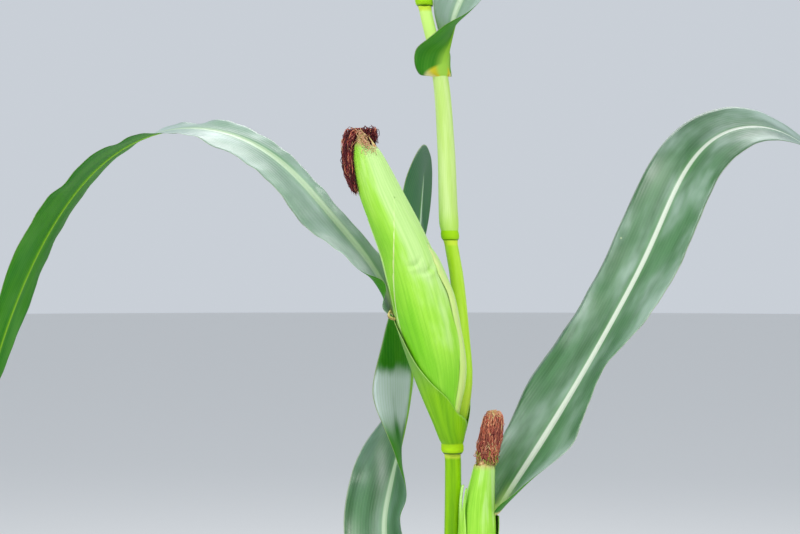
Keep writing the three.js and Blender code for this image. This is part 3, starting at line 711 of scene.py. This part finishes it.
def root_finish():
    """Brace root: green and purple above, earthy brown where it meets the ground."""
    made = Finish("brace root", 0.6, 0.4)
    patch = made.mottle(0.004, 6)
    made.base = made.blend(patch, (140, 150, 66), (150, 96, 84))
    made.paint(made.graded(made.v, 0.55, 0.95), (140, 112, 78))
    return made.done(patch, 0.5, 0.0008)


def husk_finish(name, low, high, top, margin, band=0.94, rim=((226, 244, 150), (214, 236, 140)), side_light=1):
    """Satin husk leaf: vivid below, pale above, dry past the top, with close veins and streaks.
    margin is the share of a pale edge in the two tones of rim, from the share band outwards, and the
    last argument is how much paler the side towards the key softbox is painted, a painted highlight."""
    made = Finish(name, 0.42, 0.2)
    streak = made.mottle(0.0019, 44)
    wide = made.mottle(0.013, 4)
    # Painted highlight: the side towards the key softbox is painted paler, more so above the foot
    aside = made.times(made.graded(made.across, -0.062, -0.03),
                       made.graded(made.along, low - 0.01, low + 0.06, 0.25 * side_light, 0.6 * side_light))
    level = made.maths("ADD", made.graded(made.along, low, high, 0, 0.55), aside)
    level = made.maths("MULTIPLY_ADD", wide, 0.3, made.maths("SUBTRACT", level, 0.14), clamp=True)
    made.base = made.blend(level, (116, 205, 0), (186, 238, 84))
    made.paint(made.graded(level, 0.6, 1), (200, 236, 150))
    made.paint(made.times(streak, made.graded(level, 0, 1, 0.5, 0.22)), (96, 182, 0))
    veins = made.veins(0.0011, 0.5)
    made.paint(veins["Line"], (216, 248, 140), 0.2)
    made.paint(made.graded(made.side, band, mix(band, 1, 0.6)), made.blend(streak, *rim), margin)
    dry = made.blend(streak, (226, 222, 150), (196, 130, 92))
    made.paint(made.graded(made.along, top - 0.006, top + 0.004), dry)
    return made.done(made.maths("MULTIPLY_ADD", streak, 1.5, veins["Height"]), 0.25, 0.0003, 0.1)


def plain_finish(name, tone, fleck, roughness=0.55, size=0.004):
    """One colour with soft flecks of a second, for small pieces made in large numbers."""
    made = Finish(name, roughness, 0.35, mapped=False)
    spot = made.add("ShaderNodeTexCoord", {}).outputs["Object"]
    made.base = made.blend(made.graded(made.noise(spot, 2, 1 / size), 0.4, 0.65), tone, fleck)
    return made.done()


# Upper sides with more or less painted sheen; the second is painted palest, for upper sides that reflect the
# sky most
LEAF_UPPER = leaf_upper("leaf upper side", 0, 0.5, (150, 182, 170))
LEAF_SHEENED = leaf_upper("waxy leaf upper side", 0.4, 0.95, (184, 204, 196))
LEAF_RIBBED = leaf_upper("pale ribbed leaf upper side", 0.05, 0.85, (176, 200, 186), (250, 252, 240))
UPPER_SIDES = {"usual": LEAF_UPPER, "waxy": LEAF_SHEENED, "pale rib": LEAF_RIBBED}
LEAF_UNDER = leaf_under("leaf underside", ())
# The fourth leaf's underside, with a band of painted sheen
LEAF_SHEEN_BAND = leaf_under("washed leaf underside", (0.305, 0.42))
SHEATH = sheath_finish()
EAR_SHEATH = ear_sheath_finish()
LIGULE = plain_finish("ligule", (206, 196, 120), (150, 120, 70), 0.7)
STALK = stalk_finish()
ROOT = root_finish()
HUSK_DRY = plain_finish("husk tip", (226, 210, 140), (190, 128, 90), 0.7, 0.003)
MAIN_HUSK = (1.06, 1.28, 1.302)
SECOND_HUSK = (0.84, 0.98, 0.985)
FRONT_RIM = ((238, 248, 196), (228, 226, 156))
FLAP_RIM = ((204, 236, 116), (224, 220, 150))
MAIN_HUSK_FINISHES = [husk_finish("main husk", *MAIN_HUSK, 0.1),
                      husk_finish("main husk front", *MAIN_HUSK, 0.9, 0.88, FRONT_RIM), HUSK_DRY,
                      husk_finish("main husk flap", 1.0, 1.2, 1.302, 0.6, 0.3, FLAP_RIM)]
SECOND_HUSK_FINISHES = [husk_finish("second husk", *SECOND_HUSK, 0.1, side_light=0.45),
                        husk_finish("second husk front", *SECOND_HUSK, 0.5, side_light=0.45), HUSK_DRY]
SILK_TONES = [plain_finish("silk maroon", (104, 26, 34), (138, 44, 50)),
              plain_finish("silk dark", (64, 18, 24), (92, 28, 34)),
              plain_finish("silk salmon", (220, 140, 104), (196, 100, 72), 0.5),
              plain_finish("silk straw", (214, 190, 128), (222, 160, 130), 0.5),
              plain_finish("silk green", (186, 200, 84), (176, 176, 84), 0.5),
              plain_finish("silk mauve", (150, 78, 62), (178, 104, 78))]
MAROON, DARK, SALMON, STRAW, FRESH, MAUVE = range(6)


# Stalk

stalk_x, stalk_y, stalk_radius = through(STALK_X), through(STALK_Y), through(STALK_RADIUS)
node_swell, ring_profile = through(NODE_SWELL), through(RING_PROFILE)
NODES = BARE_NODES + [leaf["node"] for leaf in LEAVES]


def by_stalk(height, angle, radius):
    """The point at a height and an angle, radius mm from the middle of the stalk."""
    return Vector((stalk_x(height) + radius * cos(angle), stalk_y(height) + radius * sin(angle), height))


def about(centre, side, front, radius, angle):
    """The point at an angle from side towards front, on a ring round a centre."""
    return centre + side * (radius * cos(angle)) + front * (radius * sin(angle))


def nearest_node(height):
    return min(NODES, key=lambda node: abs(height - node))


def stalk_skin(bm):
    """The rind: even rings, with close ones at the nodes, and a groove that changes sides at each."""
    steps = round(NODE_REACH / NODE_STEP)
    levels = {0, *range(LEVEL_STEP, STALK_TOP, LEVEL_STEP), STALK_TOP}
    levels.update(node + i * NODE_STEP for node in NODES for i in range(-steps, steps + 1))
    heights = [0, *sorted(levels), STALK_TOP]
    rows = len(heights) - 1

    def spot(u, v):
        row = round(v * rows)
        height = heights[row]
        node = nearest_node(height)
        side = radians(90 if NODES.index(node) % 2 else -90)
        groove = GROOVE_DEPTH * bell(degrees(remainder(pi * u - side, 2 * pi)), GROOVE_WIDTH)
        radius = stalk_radius(height) + node_swell(height - node) - groove
        return height, pi * u, 0 if row in (0, rows) else radius

    def flat(u, v):
        height, angle, radius = spot(u, v)
        near = bell(height - nearest_node(height) + 4, 9)
        return angle * stalk_radius(height), height, near, v

    skin(bm, STALK_COLUMNS, rows, lambda u, v: by_stalk(*spot(u, v)), flat)


def limb(bm, path, radius_at, columns, rows, tone=0, seed=0):
    """A closed round limb along path(share), of the given radius at each share of it."""
    across = OBLIQUE.normalized()
    step = 0.004

    def place(u, v):
        along = (path(min(v + step, 1)) - path(max(v - step, 0))).normalized()
        side = across.cross(along).normalized()
        bumps = 1 + LIMB_BUMPS * noise.noise(Vector((cos(pi * u), sin(pi * u), v * 9 + seed)))
        radius = 0 if v in (0, 1) else radius_at(v) * bumps
        return about(path(v), side, side.cross(along), radius, pi * u)

    def flat(u, v):
        return u * pi * radius_at(0.5), (path(v) - path(0)).length, u, v

    skin(bm, columns, rows, place, flat, lambda u, v: tone)


def curve(*points):
    """A quadratic curve through a first, towards a second and to a third point."""
    first, second, third = (Vector(point) for point in points)
    return lambda t: first * (1 - t) ** 2 + second * (2 * t * (1 - t)) + third * t ** 2


def outward(root, heading, *steps):
    """A curve away from a root at a heading, by its reach and its rise at three points."""
    return curve(*[root + Vector((cos(heading) * reach, sin(heading) * reach, rise))
                   for reach, rise in steps])


def stalk_piece():
    bm = bmesh.new()
    stalk_skin(bm)
    for number, whorl in enumerate(BRACE_WHORLS):
        reach, height = whorl["reach"], whorl["z"]
        girth = through([(share, whorl["radius"] * size) for share, size in BRACE_GIRTH])
        for i in range(whorl["count"]):
            heading = radians(whorl["first"] + 360 * i / whorl["count"])
            path = outward(Vector(), heading, (BRACE_START, height),
                           (reach * BRACE_KNEE[0], height * BRACE_KNEE[1]), (reach, BRACE_END))
            limb(bm, path, girth, 12, 24, 1, number * 10 + i)
    everything = bm.verts[:] + bm.edges[:] + bm.faces[:]
    cut = bmesh.ops.bisect_plane(bm, geom=everything, dist=0.0001, plane_co=(0, 0, GROUND_CUT),
                                 plane_no=(0, 0, -1), clear_outer=True)["geom_cut"]
    rims = [edge for edge in cut if isinstance(edge, bmesh.types.BMEdge)]
    bmesh.ops.holes_fill(bm, edges=rims, sides=0)
    piece("stalk_rind", bm, [STALK, ROOT], ["stalk"])


# Ears and sheaths

def ear_ring(outline):
    """Place and half width of an ear at each height."""
    lines = [through([(row[0], row[k]) for row in outline]) for k in (1, 2, 3)]
    return lambda height: [line(height) for line in lines]


def collar_of(leaf):
    """Middle, radius, heading and wrap of the collar where a blade sets out."""
    height = leaf["node"] + leaf["sheath"]
    wall = SHEATH_COLLAR_WALL / 2 + SEAT
    if "ear" in leaf:
        x, y, half = ear_ring(leaf["ear"]["outline"])(height)
        return Vector((x, y, height)), half + wall, leaf["ear"]["collar"], leaf["ear"]["spread"]
    middle = Vector((stalk_x(height), stalk_y(height), height))
    return middle, stalk_radius(height) + wall + COLLAR_FLARE, leaf["turn"][0][1], COLLAR_WRAP


def wall_face(u, v, side, inner, outer):
    """The outer or the inner face of a wall, which meet half-way at its rim."""
    if abs(u) == 1 or v in (0, 1):
        return (inner + outer) / 2
    return outer if side > 0 else inner


def plain_sheath(bm, leaf):
    """Sheath wrapped round the bare stalk, one margin over the other on the side away from its blade."""
    bottom, top = leaf["node"] - SHEATH_DROP, leaf["node"] + leaf["sheath"]
    heading = radians(leaf["turn"][0][1])
    reach = pi + radians(SHEATH_LAP)
    lap = 2 * radians(SHEATH_LAP) / reach

    def height_at(u, v):
        return mix(bottom, top - SHEATH_NOTCH * ease(0.5, 1, abs(u)), v)

    def place(t, v):
        u, side = face_of(t)
        height = height_at(u, v)
        wall = mix(SHEATH_BASE_WALL, SHEATH_COLLAR_WALL, (height - bottom) / (top - bottom))
        under = ease(1 - lap, 1 - lap / 2, -u)
        over = ease(1 - lap, 1 - lap / 2, u)
        inner = SEAT / 2 + (wall / 2 + 0.15) * over
        outer = SEAT + wall * (1 - under / 2) + 0.3 * over + ring_profile(height - leaf["node"])
        off = wall_face(u, v, side, inner, max(outer, inner + 0.1))
        return by_stalk(height, heading + u * reach, stalk_radius(height) + off)

    def flat(t, v):
        u, side = face_of(t)
        height = height_at(u, v)
        return u * reach * stalk_radius(height), height - leaf["node"], u, v

    rows = max(30, round(leaf["sheath"] / SHEATH_STEP))
    skin(bm, SHEATH_COLUMNS, rows, place, flat, lambda t, v: 0)


def ligule(bm, leaf):
    """Short ragged membrane round the stalk, just inside the collar."""
    middle, radius, heading, wrap = collar_of(leaf)
    rng = random.Random(leaf["node"])
    rags = [rng.uniform(*LIGULE_RAGS) for i in range(40)]
    last = len(rags) - 1

    def place(t, v):
        u, side = face_of(t)
        height = middle.z - 4 + v * (4 + rags[round((u + 1) / 2 * last)])
        off = wall_face(u, v, side, -LIGULE_HALF_WALL, LIGULE_HALF_WALL)
        angle = radians(heading) + u * radians(LIGULE_REACH)
        return by_stalk(height, angle, stalk_radius(height) + 0.6 + off)

    skin(bm, 2 * last, 4, place, lambda t, v: (t, v, t, v), lambda t, v: 1)


def hull_point(ring, height, angle, off):
    """Point at a normal direction on a taut skin round the stalk and the ear, off mm outside them."""
    x, y, half = ring(height)
    cores = [((x, y), half), ((stalk_x(height), stalk_y(height)), stalk_radius(height))]
    out = Vector((cos(angle), sin(angle)))
    along = Vector((-sin(angle), cos(angle)))
    reaches = [Vector(middle).dot(out) + radius for middle, radius in cores]
    most = max(reaches)
    weights = [exp((reach - most) / HULL_SOFTNESS) for reach in reaches]
    total = sum(weights)
    reach = most + HULL_SOFTNESS * log(total)
    shift = sum(weight * Vector(middle).dot(along) for weight, (middle, radius) in zip(weights, cores))
    point = out * (reach + off) + along * (shift / total)
    return Vector((point.x, point.y, height))


near_wrap, far_wrap = through(NEAR_WRAP), through(FAR_WRAP)


def ear_sheath(bm, leaf):
    """Sheath round the stalk and the foot of an ear, its near margin rising across the ear."""
    bottom, top = leaf["node"] - SHEATH_DROP, leaf["node"] + leaf["sheath"]
    ear = leaf["ear"]
    ring = ear_ring(ear["outline"])

    def spot(t, v):
        u, side = face_of(t)
        angle = ear["collar"] + ear["hand"] * mix(-far_wrap(v), near_wrap(v), (u + 1) / 2)
        return u, side, radians(angle), mix(bottom, top, v)

    def place(t, v):
        u, side, angle, height = spot(t, v)
        wall = mix(SHEATH_BASE_WALL, EAR_SHEATH_WALL, ease(0, 0.35, v))
        over = ease(0.9, 0.97, u) * (1 - ease(0.2, 0.35, v))
        outer = wall + 0.8 * over + 1.1 * ease(0.86, 1, u) * ease(0.25, 0.5, v)
        inner = outer - 0.6
        outer += ring_profile(height - leaf["node"])
        return hull_point(ring, height, angle, wall_face(u, v, side, min(inner, outer - 0.2), outer))

    def flat(t, v):
        u, side, angle, height = spot(t, v)
        return (angle - radians(ear["collar"])) * SHEATH_MAP_RADIUS, height - leaf["node"], u, v

    skin(bm, EAR_SHEATH_COLUMNS, EAR_SHEATH_ROWS, place, flat, lambda t, v: 0)


def husk_skin(ring, seed, dents):
    """The place on the innermost husk leaf at an angle and a height, off mm outside it."""
    def spot(angle, height, off):
        x, y, half = ring(height)
        out = Vector((cos(angle), sin(angle)))
        reach = half + off - HUSK_INSET * ease(0, 12, half)
        reach += HUSK_SWELL * noise.noise(Vector((out.x * 1.5, out.y * 1.5, height / 60 + seed)))
        for place_x, place_z, long, tilt in dents:
            aside, up = x + half * out.x - place_x, height - place_z
            lean = radians(tilt)
            line = aside * cos(lean) + up * sin(lean)
            bow = up * cos(lean) - aside * sin(lean) - line * line / 24
            fold = DENT_DEPTH * bell(bow, DENT_WIDTH) - BROW_HEIGHT * bell(bow + BROW_OFF, BROW_WIDTH)
            reach -= fold * bell(line, long) * (out.y < 0)
        return Vector((x + reach * out.x, y + reach * EAR_FLATNESS * out.y, height))

    return spot


def husk_core(bm, ring, surface, bottom, mouth):
    """The innermost husk leaf, closed below, and drawn in to a dry throat below the mouth."""
    def place(u, v):
        height = mix(bottom, mouth, v)
        if v in (0, 1):
            return Vector((*ring(height)[:2], height))
        throat = THROAT_DEPTH * ease(mouth - MOUTH_DEPTH, mouth, height)
        return surface(pi * u, height, -CORE_INSET - throat)

    def flat(u, v):
        return pi * u * HUSK_MAP_RADIUS, mix(bottom, mouth, v), 0, v

    skin(bm, CORE_STEPS, CORE_STEPS, place, flat, lambda u, v: 0 if v < 0.96 else 2)


def husk_leaf(bm, surface, leaf, number, columns=HUSK_COLUMNS, rows=HUSK_ROWS):
    """One husk leaf, wrapped on the ear, its margins lying down on the leaf under it."""
    spread, lift = through(leaf["spread"]), through(leaf["lift"])
    bend = through(leaf.get("bend", [(0, 0), (1, 1)]))
    crest = through(leaf.get("crest", [(-1, 0), (1, 0)]))
    drift = random.Random(number).uniform(0, 40)

    def spot(t, v):
        u, side = face_of(t)
        ragged = leaf.get("rags", 0.6) * 2 * noise.noise(Vector((u * 7, drift, 0)))
        top = leaf["apex"] + crest(u) + ragged
        heading = mix(*leaf["heading"], bend(v))
        waver = 2 * noise.noise(Vector((v * 5, drift, u)))
        return u, side, mix(leaf["foot"], top, v), radians(heading + u * spread(v) + waver)

    def place(t, v):
        u, side, height, angle = spot(t, v)
        rib = HUSK_RIB * cos(u * spread(v) * 0.55 + drift) * (1 - abs(u) ** 3)
        off = lift(v) * (1 - leaf.get("settle", 0.8) * abs(u) ** 8) + rib
        off += 0.08 if abs(u) == 1 or v in (0, 1) else side * HUSK_THICKNESS / 2
        return surface(angle, height, off)

    def flat(t, v):
        u, side, height, angle = spot(t, v)
        return angle * HUSK_MAP_RADIUS, height, u, v

    skin(bm, 2 * columns, rows, place, flat, lambda t, v: leaf.get("tone", 0))


def ear_piece(name, outline, husks, tips, seed, node, finishes, dents=()):
    bm = bmesh.new()
    ring = ear_ring(outline)
    surface = husk_skin(ring, seed, dents)
    husk_core(bm, ring, surface, outline[0][0], max(leaf["apex"] for leaf in husks))
    for i, leaf in enumerate(husks):
        husk_leaf(bm, surface, leaf, seed * 20 + i)
    for i, leaf in enumerate(tips):
        husk_leaf(bm, surface, {"tone": 2, "rags": 1.5, "settle": 0.2, **leaf}, seed * 50 + i, 16, 30)
    piece(name, bm, finishes, [node])


# Leaves

def midrib(leaf, shares):
    """Place of the midrib, and the sideways, upward and lengthways directions, at each share."""
    middle, radius, heading, wrap = collar_of(leaf)
    rise, turn, twist = through(leaf["rise"]), through(leaf["turn"]), through(leaf["twist"])

    def towards(share):
        climb, way = radians(rise(share)), radians(turn(share))
        return Vector((cos(climb) * cos(way), cos(climb) * sin(way), sin(climb)))

    way = radians(heading)
    lift = SEAT + (EAR_BLADE_LIFT if "ear" in leaf else BLADE_LIFT) - BLADE_LAP
    spot = middle + Vector((radius * cos(way), radius * sin(way), lift))
    found = []
    for i, share in enumerate(shares):
        if i:
            step = share - shares[i - 1]
            spot = spot + towards(share - step / 2) * (leaf["length"] * step)
        along = towards(share)
        way = radians(turn(share))
        side = Vector((-sin(way), cos(way), 0))
        side = (side - along * side.dot(along)).normalized()
        roll = Quaternion(along, radians(twist(share)))
        found.append((spot, roll @ side, roll @ along.cross(side), along))
    return found


def blade(bm, number, leaf):
    """A leaf blade: a bent strip with a raised midrib below and waved margins."""
    rng = random.Random(number)
    shares = [(i / BLADE_ROWS) ** BLADE_CROWDING for i in range(BLADE_ROWS + 1)]
    frames = midrib(leaf, shares)
    middle, radius, heading, wrap = collar_of(leaf)
    outline = through([(0, radius * radians(wrap) / leaf["width"]), *BLADE_OUTLINE])
    trough = through([(0, wrap), *leaf.get("trough", TROUGH)])
    widths = [max(outline(share) * leaf["width"], BLADE_TIP_WIDTH) for share in shares]
    bends = [radians(trough(share)) for share in shares]
    rib_height, rib_width, reach = through(RIB_HEIGHT), through(RIB_WIDTH), through(RUFFLE_REACH)
    halves = [through(leaf.get(half, [(0, 1), (1, 1)])) for half in ("right", "left")]
    waves = [rng.uniform(0, 40) for side in (0, 1)]
    waved = RUFFLE_HEIGHT * leaf["width"] * leaf.get("ruffle", 1)
    size = leaf["width"] / RIB_LEAF_WIDTH

    def ruffle(share, spread):
        turns = share * leaf["length"] / RUFFLE_LENGTH
        drift = waves[spread > 0]
        wave = noise.noise(Vector((turns, drift, 0))) + 0.35 * noise.noise(Vector((turns * 2.6, drift, 7)))
        fold = sum(high * bell(share - at, wide) for at, wide, high in leaf.get("folds", []) if spread > 0)
        return wave * waved * reach(share) * ease(0.3, 1.05, abs(spread)) + fold * ease(0.45, 1, abs(spread))

    def spot(t, v):
        row = round(v * BLADE_ROWS)
        u, side = face_of(t)
        spread = copysign(abs(u) ** RIB_CROWDING, u)
        return row, shares[row], spread, side, spread * halves[u > 0](shares[row])

    def place(t, v):
        row, share, spread, side, out = spot(t, v)
        centre, across, up, along = frames[row]
        bow = widths[row] / bends[row]
        angle = out * bends[row] / 2
        normal = up * cos(angle) - across * sin(angle)
        offset = ruffle(share, spread) + BLADE_TUCK * (1 - ease(0, 5, share * leaf["length"]))
        first, last = BLADE_DIP_REACH
        dip = BLADE_DIP * spread * spread * ease(0, first, share) * (1 - ease(first, last, share))
        if abs(spread) < 1 and 0 < row < BLADE_ROWS:
            rib = bell(out * widths[row] / 2, rib_width(share) * size)
            if side > 0:
                offset += BLADE_THICKNESS / 2 - 0.25 * rib_height(share) * size * rib
            else:
                offset -= BLADE_THICKNESS / 2 + rib_height(share) * size * rib
        bent = centre + across * (bow * sin(angle)) + up * (bow * (1 - cos(angle)))
        return bent + normal * offset - along * dip

    def flat(t, v):
        row, share, spread, side, out = spot(t, v)
        return out * widths[row] / 2, share * leaf["length"], spread, share

    skin(bm, 2 * BLADE_COLUMNS, BLADE_ROWS, place, flat, lambda t, v: 0 if t < 0 else 1)


def leaves():
    for i, leaf in enumerate(LEAVES):
        name = f"leaf_{i + 1:02d}"
        bm = bmesh.new()
        blade(bm, i + 1, leaf)
        finishes = [UPPER_SIDES[leaf.get("upper", "usual")], LEAF_SHEEN_BAND if "sheen_band" in leaf else LEAF_UNDER]
        piece(name, bm, finishes, [f"{name}_blade", f"{name}_tip"])
        bm = bmesh.new()
        if "ear" in leaf:
            ear_sheath(bm, leaf)
        else:
            plain_sheath(bm, leaf)
            ligule(bm, leaf)
        if "curl" in leaf:
            limb(bm, curve(*leaf["curl"]), through(CURL_GIRTH), 10, 20, 1)
        wrap = EAR_SHEATH if "ear" in leaf else SHEATH
        piece(f"{name}_wrap", bm, [wrap, LIGULE], [f"{name}_sheath"])


# Silk

def strand(bm, points, radius, tones):
    """One silk: a three-sided thread through its points. tones gives the material at each share."""
    rows = len(points) - 1

    def place(u, v):
        i = round(v * rows)
        if i in (0, rows):
            return points[i]
        along = (points[i + 1] - points[i - 1]).normalized()
        side = along.cross(Vector((0.3, 0.9, 0.2))).normalized()
        return about(points[i], side, along.cross(side), radius, pi * u)

    skin(bm, 3, rows, place, None, lambda u, v: tones(v))


def brush(bm, tuft, seed, tones):
    """A tuft of silks that follow a path, each keeping its own place in the tuft's width."""
    rng = random.Random(seed)
    last = len(tuft["path"]) - 1
    lines = [through([(i / last, row[k]) for i, row in enumerate(tuft["path"])]) for k in range(4)]
    for number in range(tuft["count"]):
        start = rng.uniform(0, 0.12)
        end = rng.uniform(0.5, 1) if rng.random() < 0.4 else rng.uniform(0.84, 1)
        heading = rng.uniform(0, 2 * pi)
        out = sqrt(rng.random())
        turn = rng.uniform(-1.5, 1.5)
        climb = tuft.get("rise", 0.75) * rng.uniform(-1, 1)
        points = []
        for i in range(SILK_ROWS + 1):
            share = mix(start, end, i / SILK_ROWS)
            width = lines[3](share) * out
            angle = heading + turn * share
            shake = noise.noise_vector(Vector((number * 3.7, share * 6, seed)))
            shake += 0.35 * noise.noise_vector(Vector((number * 5.3, share * 19, seed)))
            spot = Vector([line(share) for line in lines[:3]])
            spot += Vector((cos(angle) * width, sin(angle) * width, climb * width))
            points.append(spot + shake * (tuft["curl"] * min(share * 4, 1)))
        tone = (lambda v: STRAW) if tuft.get("pale") else tones(rng)
        strand(bm, points, SILK_RADIUS * rng.uniform(0.75, 1.2), tone)


def main_tones(rng):
    pick = rng.random()
    tone = DARK if pick < 0.38 else MAROON if pick < 0.9 else SALMON if pick < 0.96 else STRAW
    return lambda v: tone


def second_tones(rng):
    pick = rng.random()
    body = MAUVE if pick < 0.5 else MAROON if pick < 0.7 else SALMON
    turn = rng.uniform(0.06, 0.2)
    tip = rng.uniform(0.6, 0.9)
    return lambda v: FRESH if v < turn else STRAW if v > tip + 0.12 else SALMON if v > tip else body


def silks():
    for name, tufts, tones, node in (("main_silk", MAIN_SILK, main_tones, "main_ear_silk"),
                                     ("second_silk", SECOND_SILK, second_tones, "second_ear_silk")):
        bm = bmesh.new()
        for i, tuft in enumerate(tufts):
            brush(bm, tuft, i + 3, tones)
        piece(name, bm, SILK_TONES, [node], weld=FINE_WELD)


# Tassel

GREEN_STEM = plain_finish("tassel stem", (170, 190, 96), (196, 180, 110), 0.6)
SPIKELETS = [plain_finish("spikelet straw", (206, 178, 112), (186, 146, 84), 0.65),
             plain_finish("spikelet green", (168, 178, 92), (190, 170, 96), 0.65),
             plain_finish("spikelet pink", (186, 122, 100), (150, 84, 76), 0.65),
             plain_finish("anther", (178, 84, 60), (120, 44, 52))]
ANTHER = 3


def spikelet(bm, foot, way, length, width, tone):
    """A pointed scaly flower, closed, with a blunt keel."""
    side = way.cross(Vector((0.2, 0.3, 0.9))).normalized()
    front = way.cross(side)
    girth = through([(0, 0.35), (0.3, 1), (0.65, 0.8), (1, 0.05)])

    def place(u, v):
        reach = 0 if v in (0, 1) else width * girth(v)
        keel = 1 + 0.25 * (abs(u) < 0.01)
        ring = side * cos(pi * u) + front * (0.8 * sin(pi * u))
        return foot + way * (length * v) + ring * (reach * keel)

    skin(bm, 6, 4, place, None, lambda u, v: tone)


def flowers(bm, path, start, length, seed, whorl):
    """Pairs of spikelets up an axis, with anthers hanging from some of them."""
    rng = random.Random(seed)
    count = round(length * (1 - start) / FLOWER_STEP) * whorl
    for i in range(count):
        share = mix(start, 0.985, i / count)
        along = (path(min(share + 0.01, 1)) - path(share - 0.01)).normalized()
        side = along.cross(OBLIQUE).normalized()
        out = Quaternion(along, radians(GOLDEN_TURN) * i + rng.uniform(-0.3, 0.3)) @ side
        way = (along + out * rng.uniform(0.28, 0.5)).normalized()
        tone = rng.choices([0, 1, 2], [5, 3, 3])[0]
        spikelet(bm, path(share) + out * 0.9, way, rng.uniform(8, 10.5), rng.uniform(1.1, 1.5), tone)
        if rng.random() < 0.55:
            foot = path(share) + out * rng.uniform(2.5, 4.5) + along * rng.uniform(1, 6)
            droop = (Vector((0, 0, -1)) + out * rng.uniform(-0.2, 0.5)).normalized()
            spikelet(bm, foot, droop, rng.uniform(3.5, 5.5), 0.55, ANTHER)


def tassel():
    foot, tip = Vector((*SPIKE_FOOT, STALK_TOP)), Vector((*SPIKE_TIP, SPIKE_TOP))
    spike = curve(foot, (foot + tip) / 2 + Vector((2, 0, 0)), tip)
    bm = bmesh.new()
    limb(bm, spike, through(SPIKE_GIRTH), 10, 40)
    piece("tassel_axis", bm, [GREEN_STEM], ["tassel_spike"])
    flowering, stems = bmesh.new(), bmesh.new()
    flowers(flowering, spike, 0.4, TASSEL_TOP - STALK_TOP, 40, 2)
    for i in range(TASSEL_BRANCHES):
        share = i / (TASSEL_BRANCHES - 1)
        length = mix(*BRANCH_LENGTH, share)
        root = mix(foot, tip, (mix(*BRANCH_HEIGHTS, share) - STALK_TOP) / (SPIKE_TOP - STALK_TOP))
        path = outward(root, radians(BRANCH_HEADING + i * GOLDEN_TURN),
                       *[(length * reach, length * rise) for reach, rise in BRANCH_COURSE])
        limb(stems, path, through(BRANCH_GIRTH), 8, 24)
        flowers(flowering, path, 0.2, length * 1.15, 50 + i, 1)
    branches = [f"tassel_branch_{i + 1}" for i in range(TASSEL_BRANCHES)]
    piece("tassel_stems", stems, [GREEN_STEM], branches)
    piece("tassel_flowers", flowering, SPIKELETS, [], weld=FINE_WELD)


# Camera, light and floor, which come before the pieces

def studio():
    scene = bpy.context.scene
    data = bpy.data.cameras.new("camera")
    data.lens = CAMERA_LENS
    data.sensor_width = CAMERA_SENSOR
    camera = placed("camera", data)
    camera.location = CAMERA_PLACE
    camera.rotation_euler = (pi / 2, 0, 0)
    scene.camera = camera
    bm = bmesh.new()
    bmesh.ops.create_circle(bm, cap_ends=True, segments=64, radius=FLOOR_RADIUS)
    finish = Finish("floor", 0.9, 0.2, {"Base Color": FLOOR_COLOUR}, mapped=False)
    drawn("floor", bm, [finish.made])
    world = bpy.data.worlds.new("sky")
    world.use_nodes = True
    sky = world.node_tree.nodes["Background"].inputs
    sky[0].default_value, sky[1].default_value = SKY
    scene.world = world
    for place, size, power in SOFTBOXES:
        light = bpy.data.lights.new("softbox", "AREA")
        light.size = size
        light.energy = power
        lamp = placed("softbox", light)
        lamp.location = place
        lamp.rotation_euler = (Vector(LAMP_AIM) - Vector(place)).to_track_quat("-Z", "Y").to_euler()
    scene.view_settings.view_transform = "Standard"


studio()
stalk_piece()
leaves()
ear_piece("main_husk", MAIN_EAR, MAIN_HUSKS, MAIN_TIPS, 7, "main_ear_husk", MAIN_HUSK_FINISHES, MAIN_DENTS)
ear_piece("second_husk", SECOND_EAR, SECOND_HUSKS, SECOND_TIPS, 11, "second_ear_husk", SECOND_HUSK_FINISHES)
silks()
tassel()
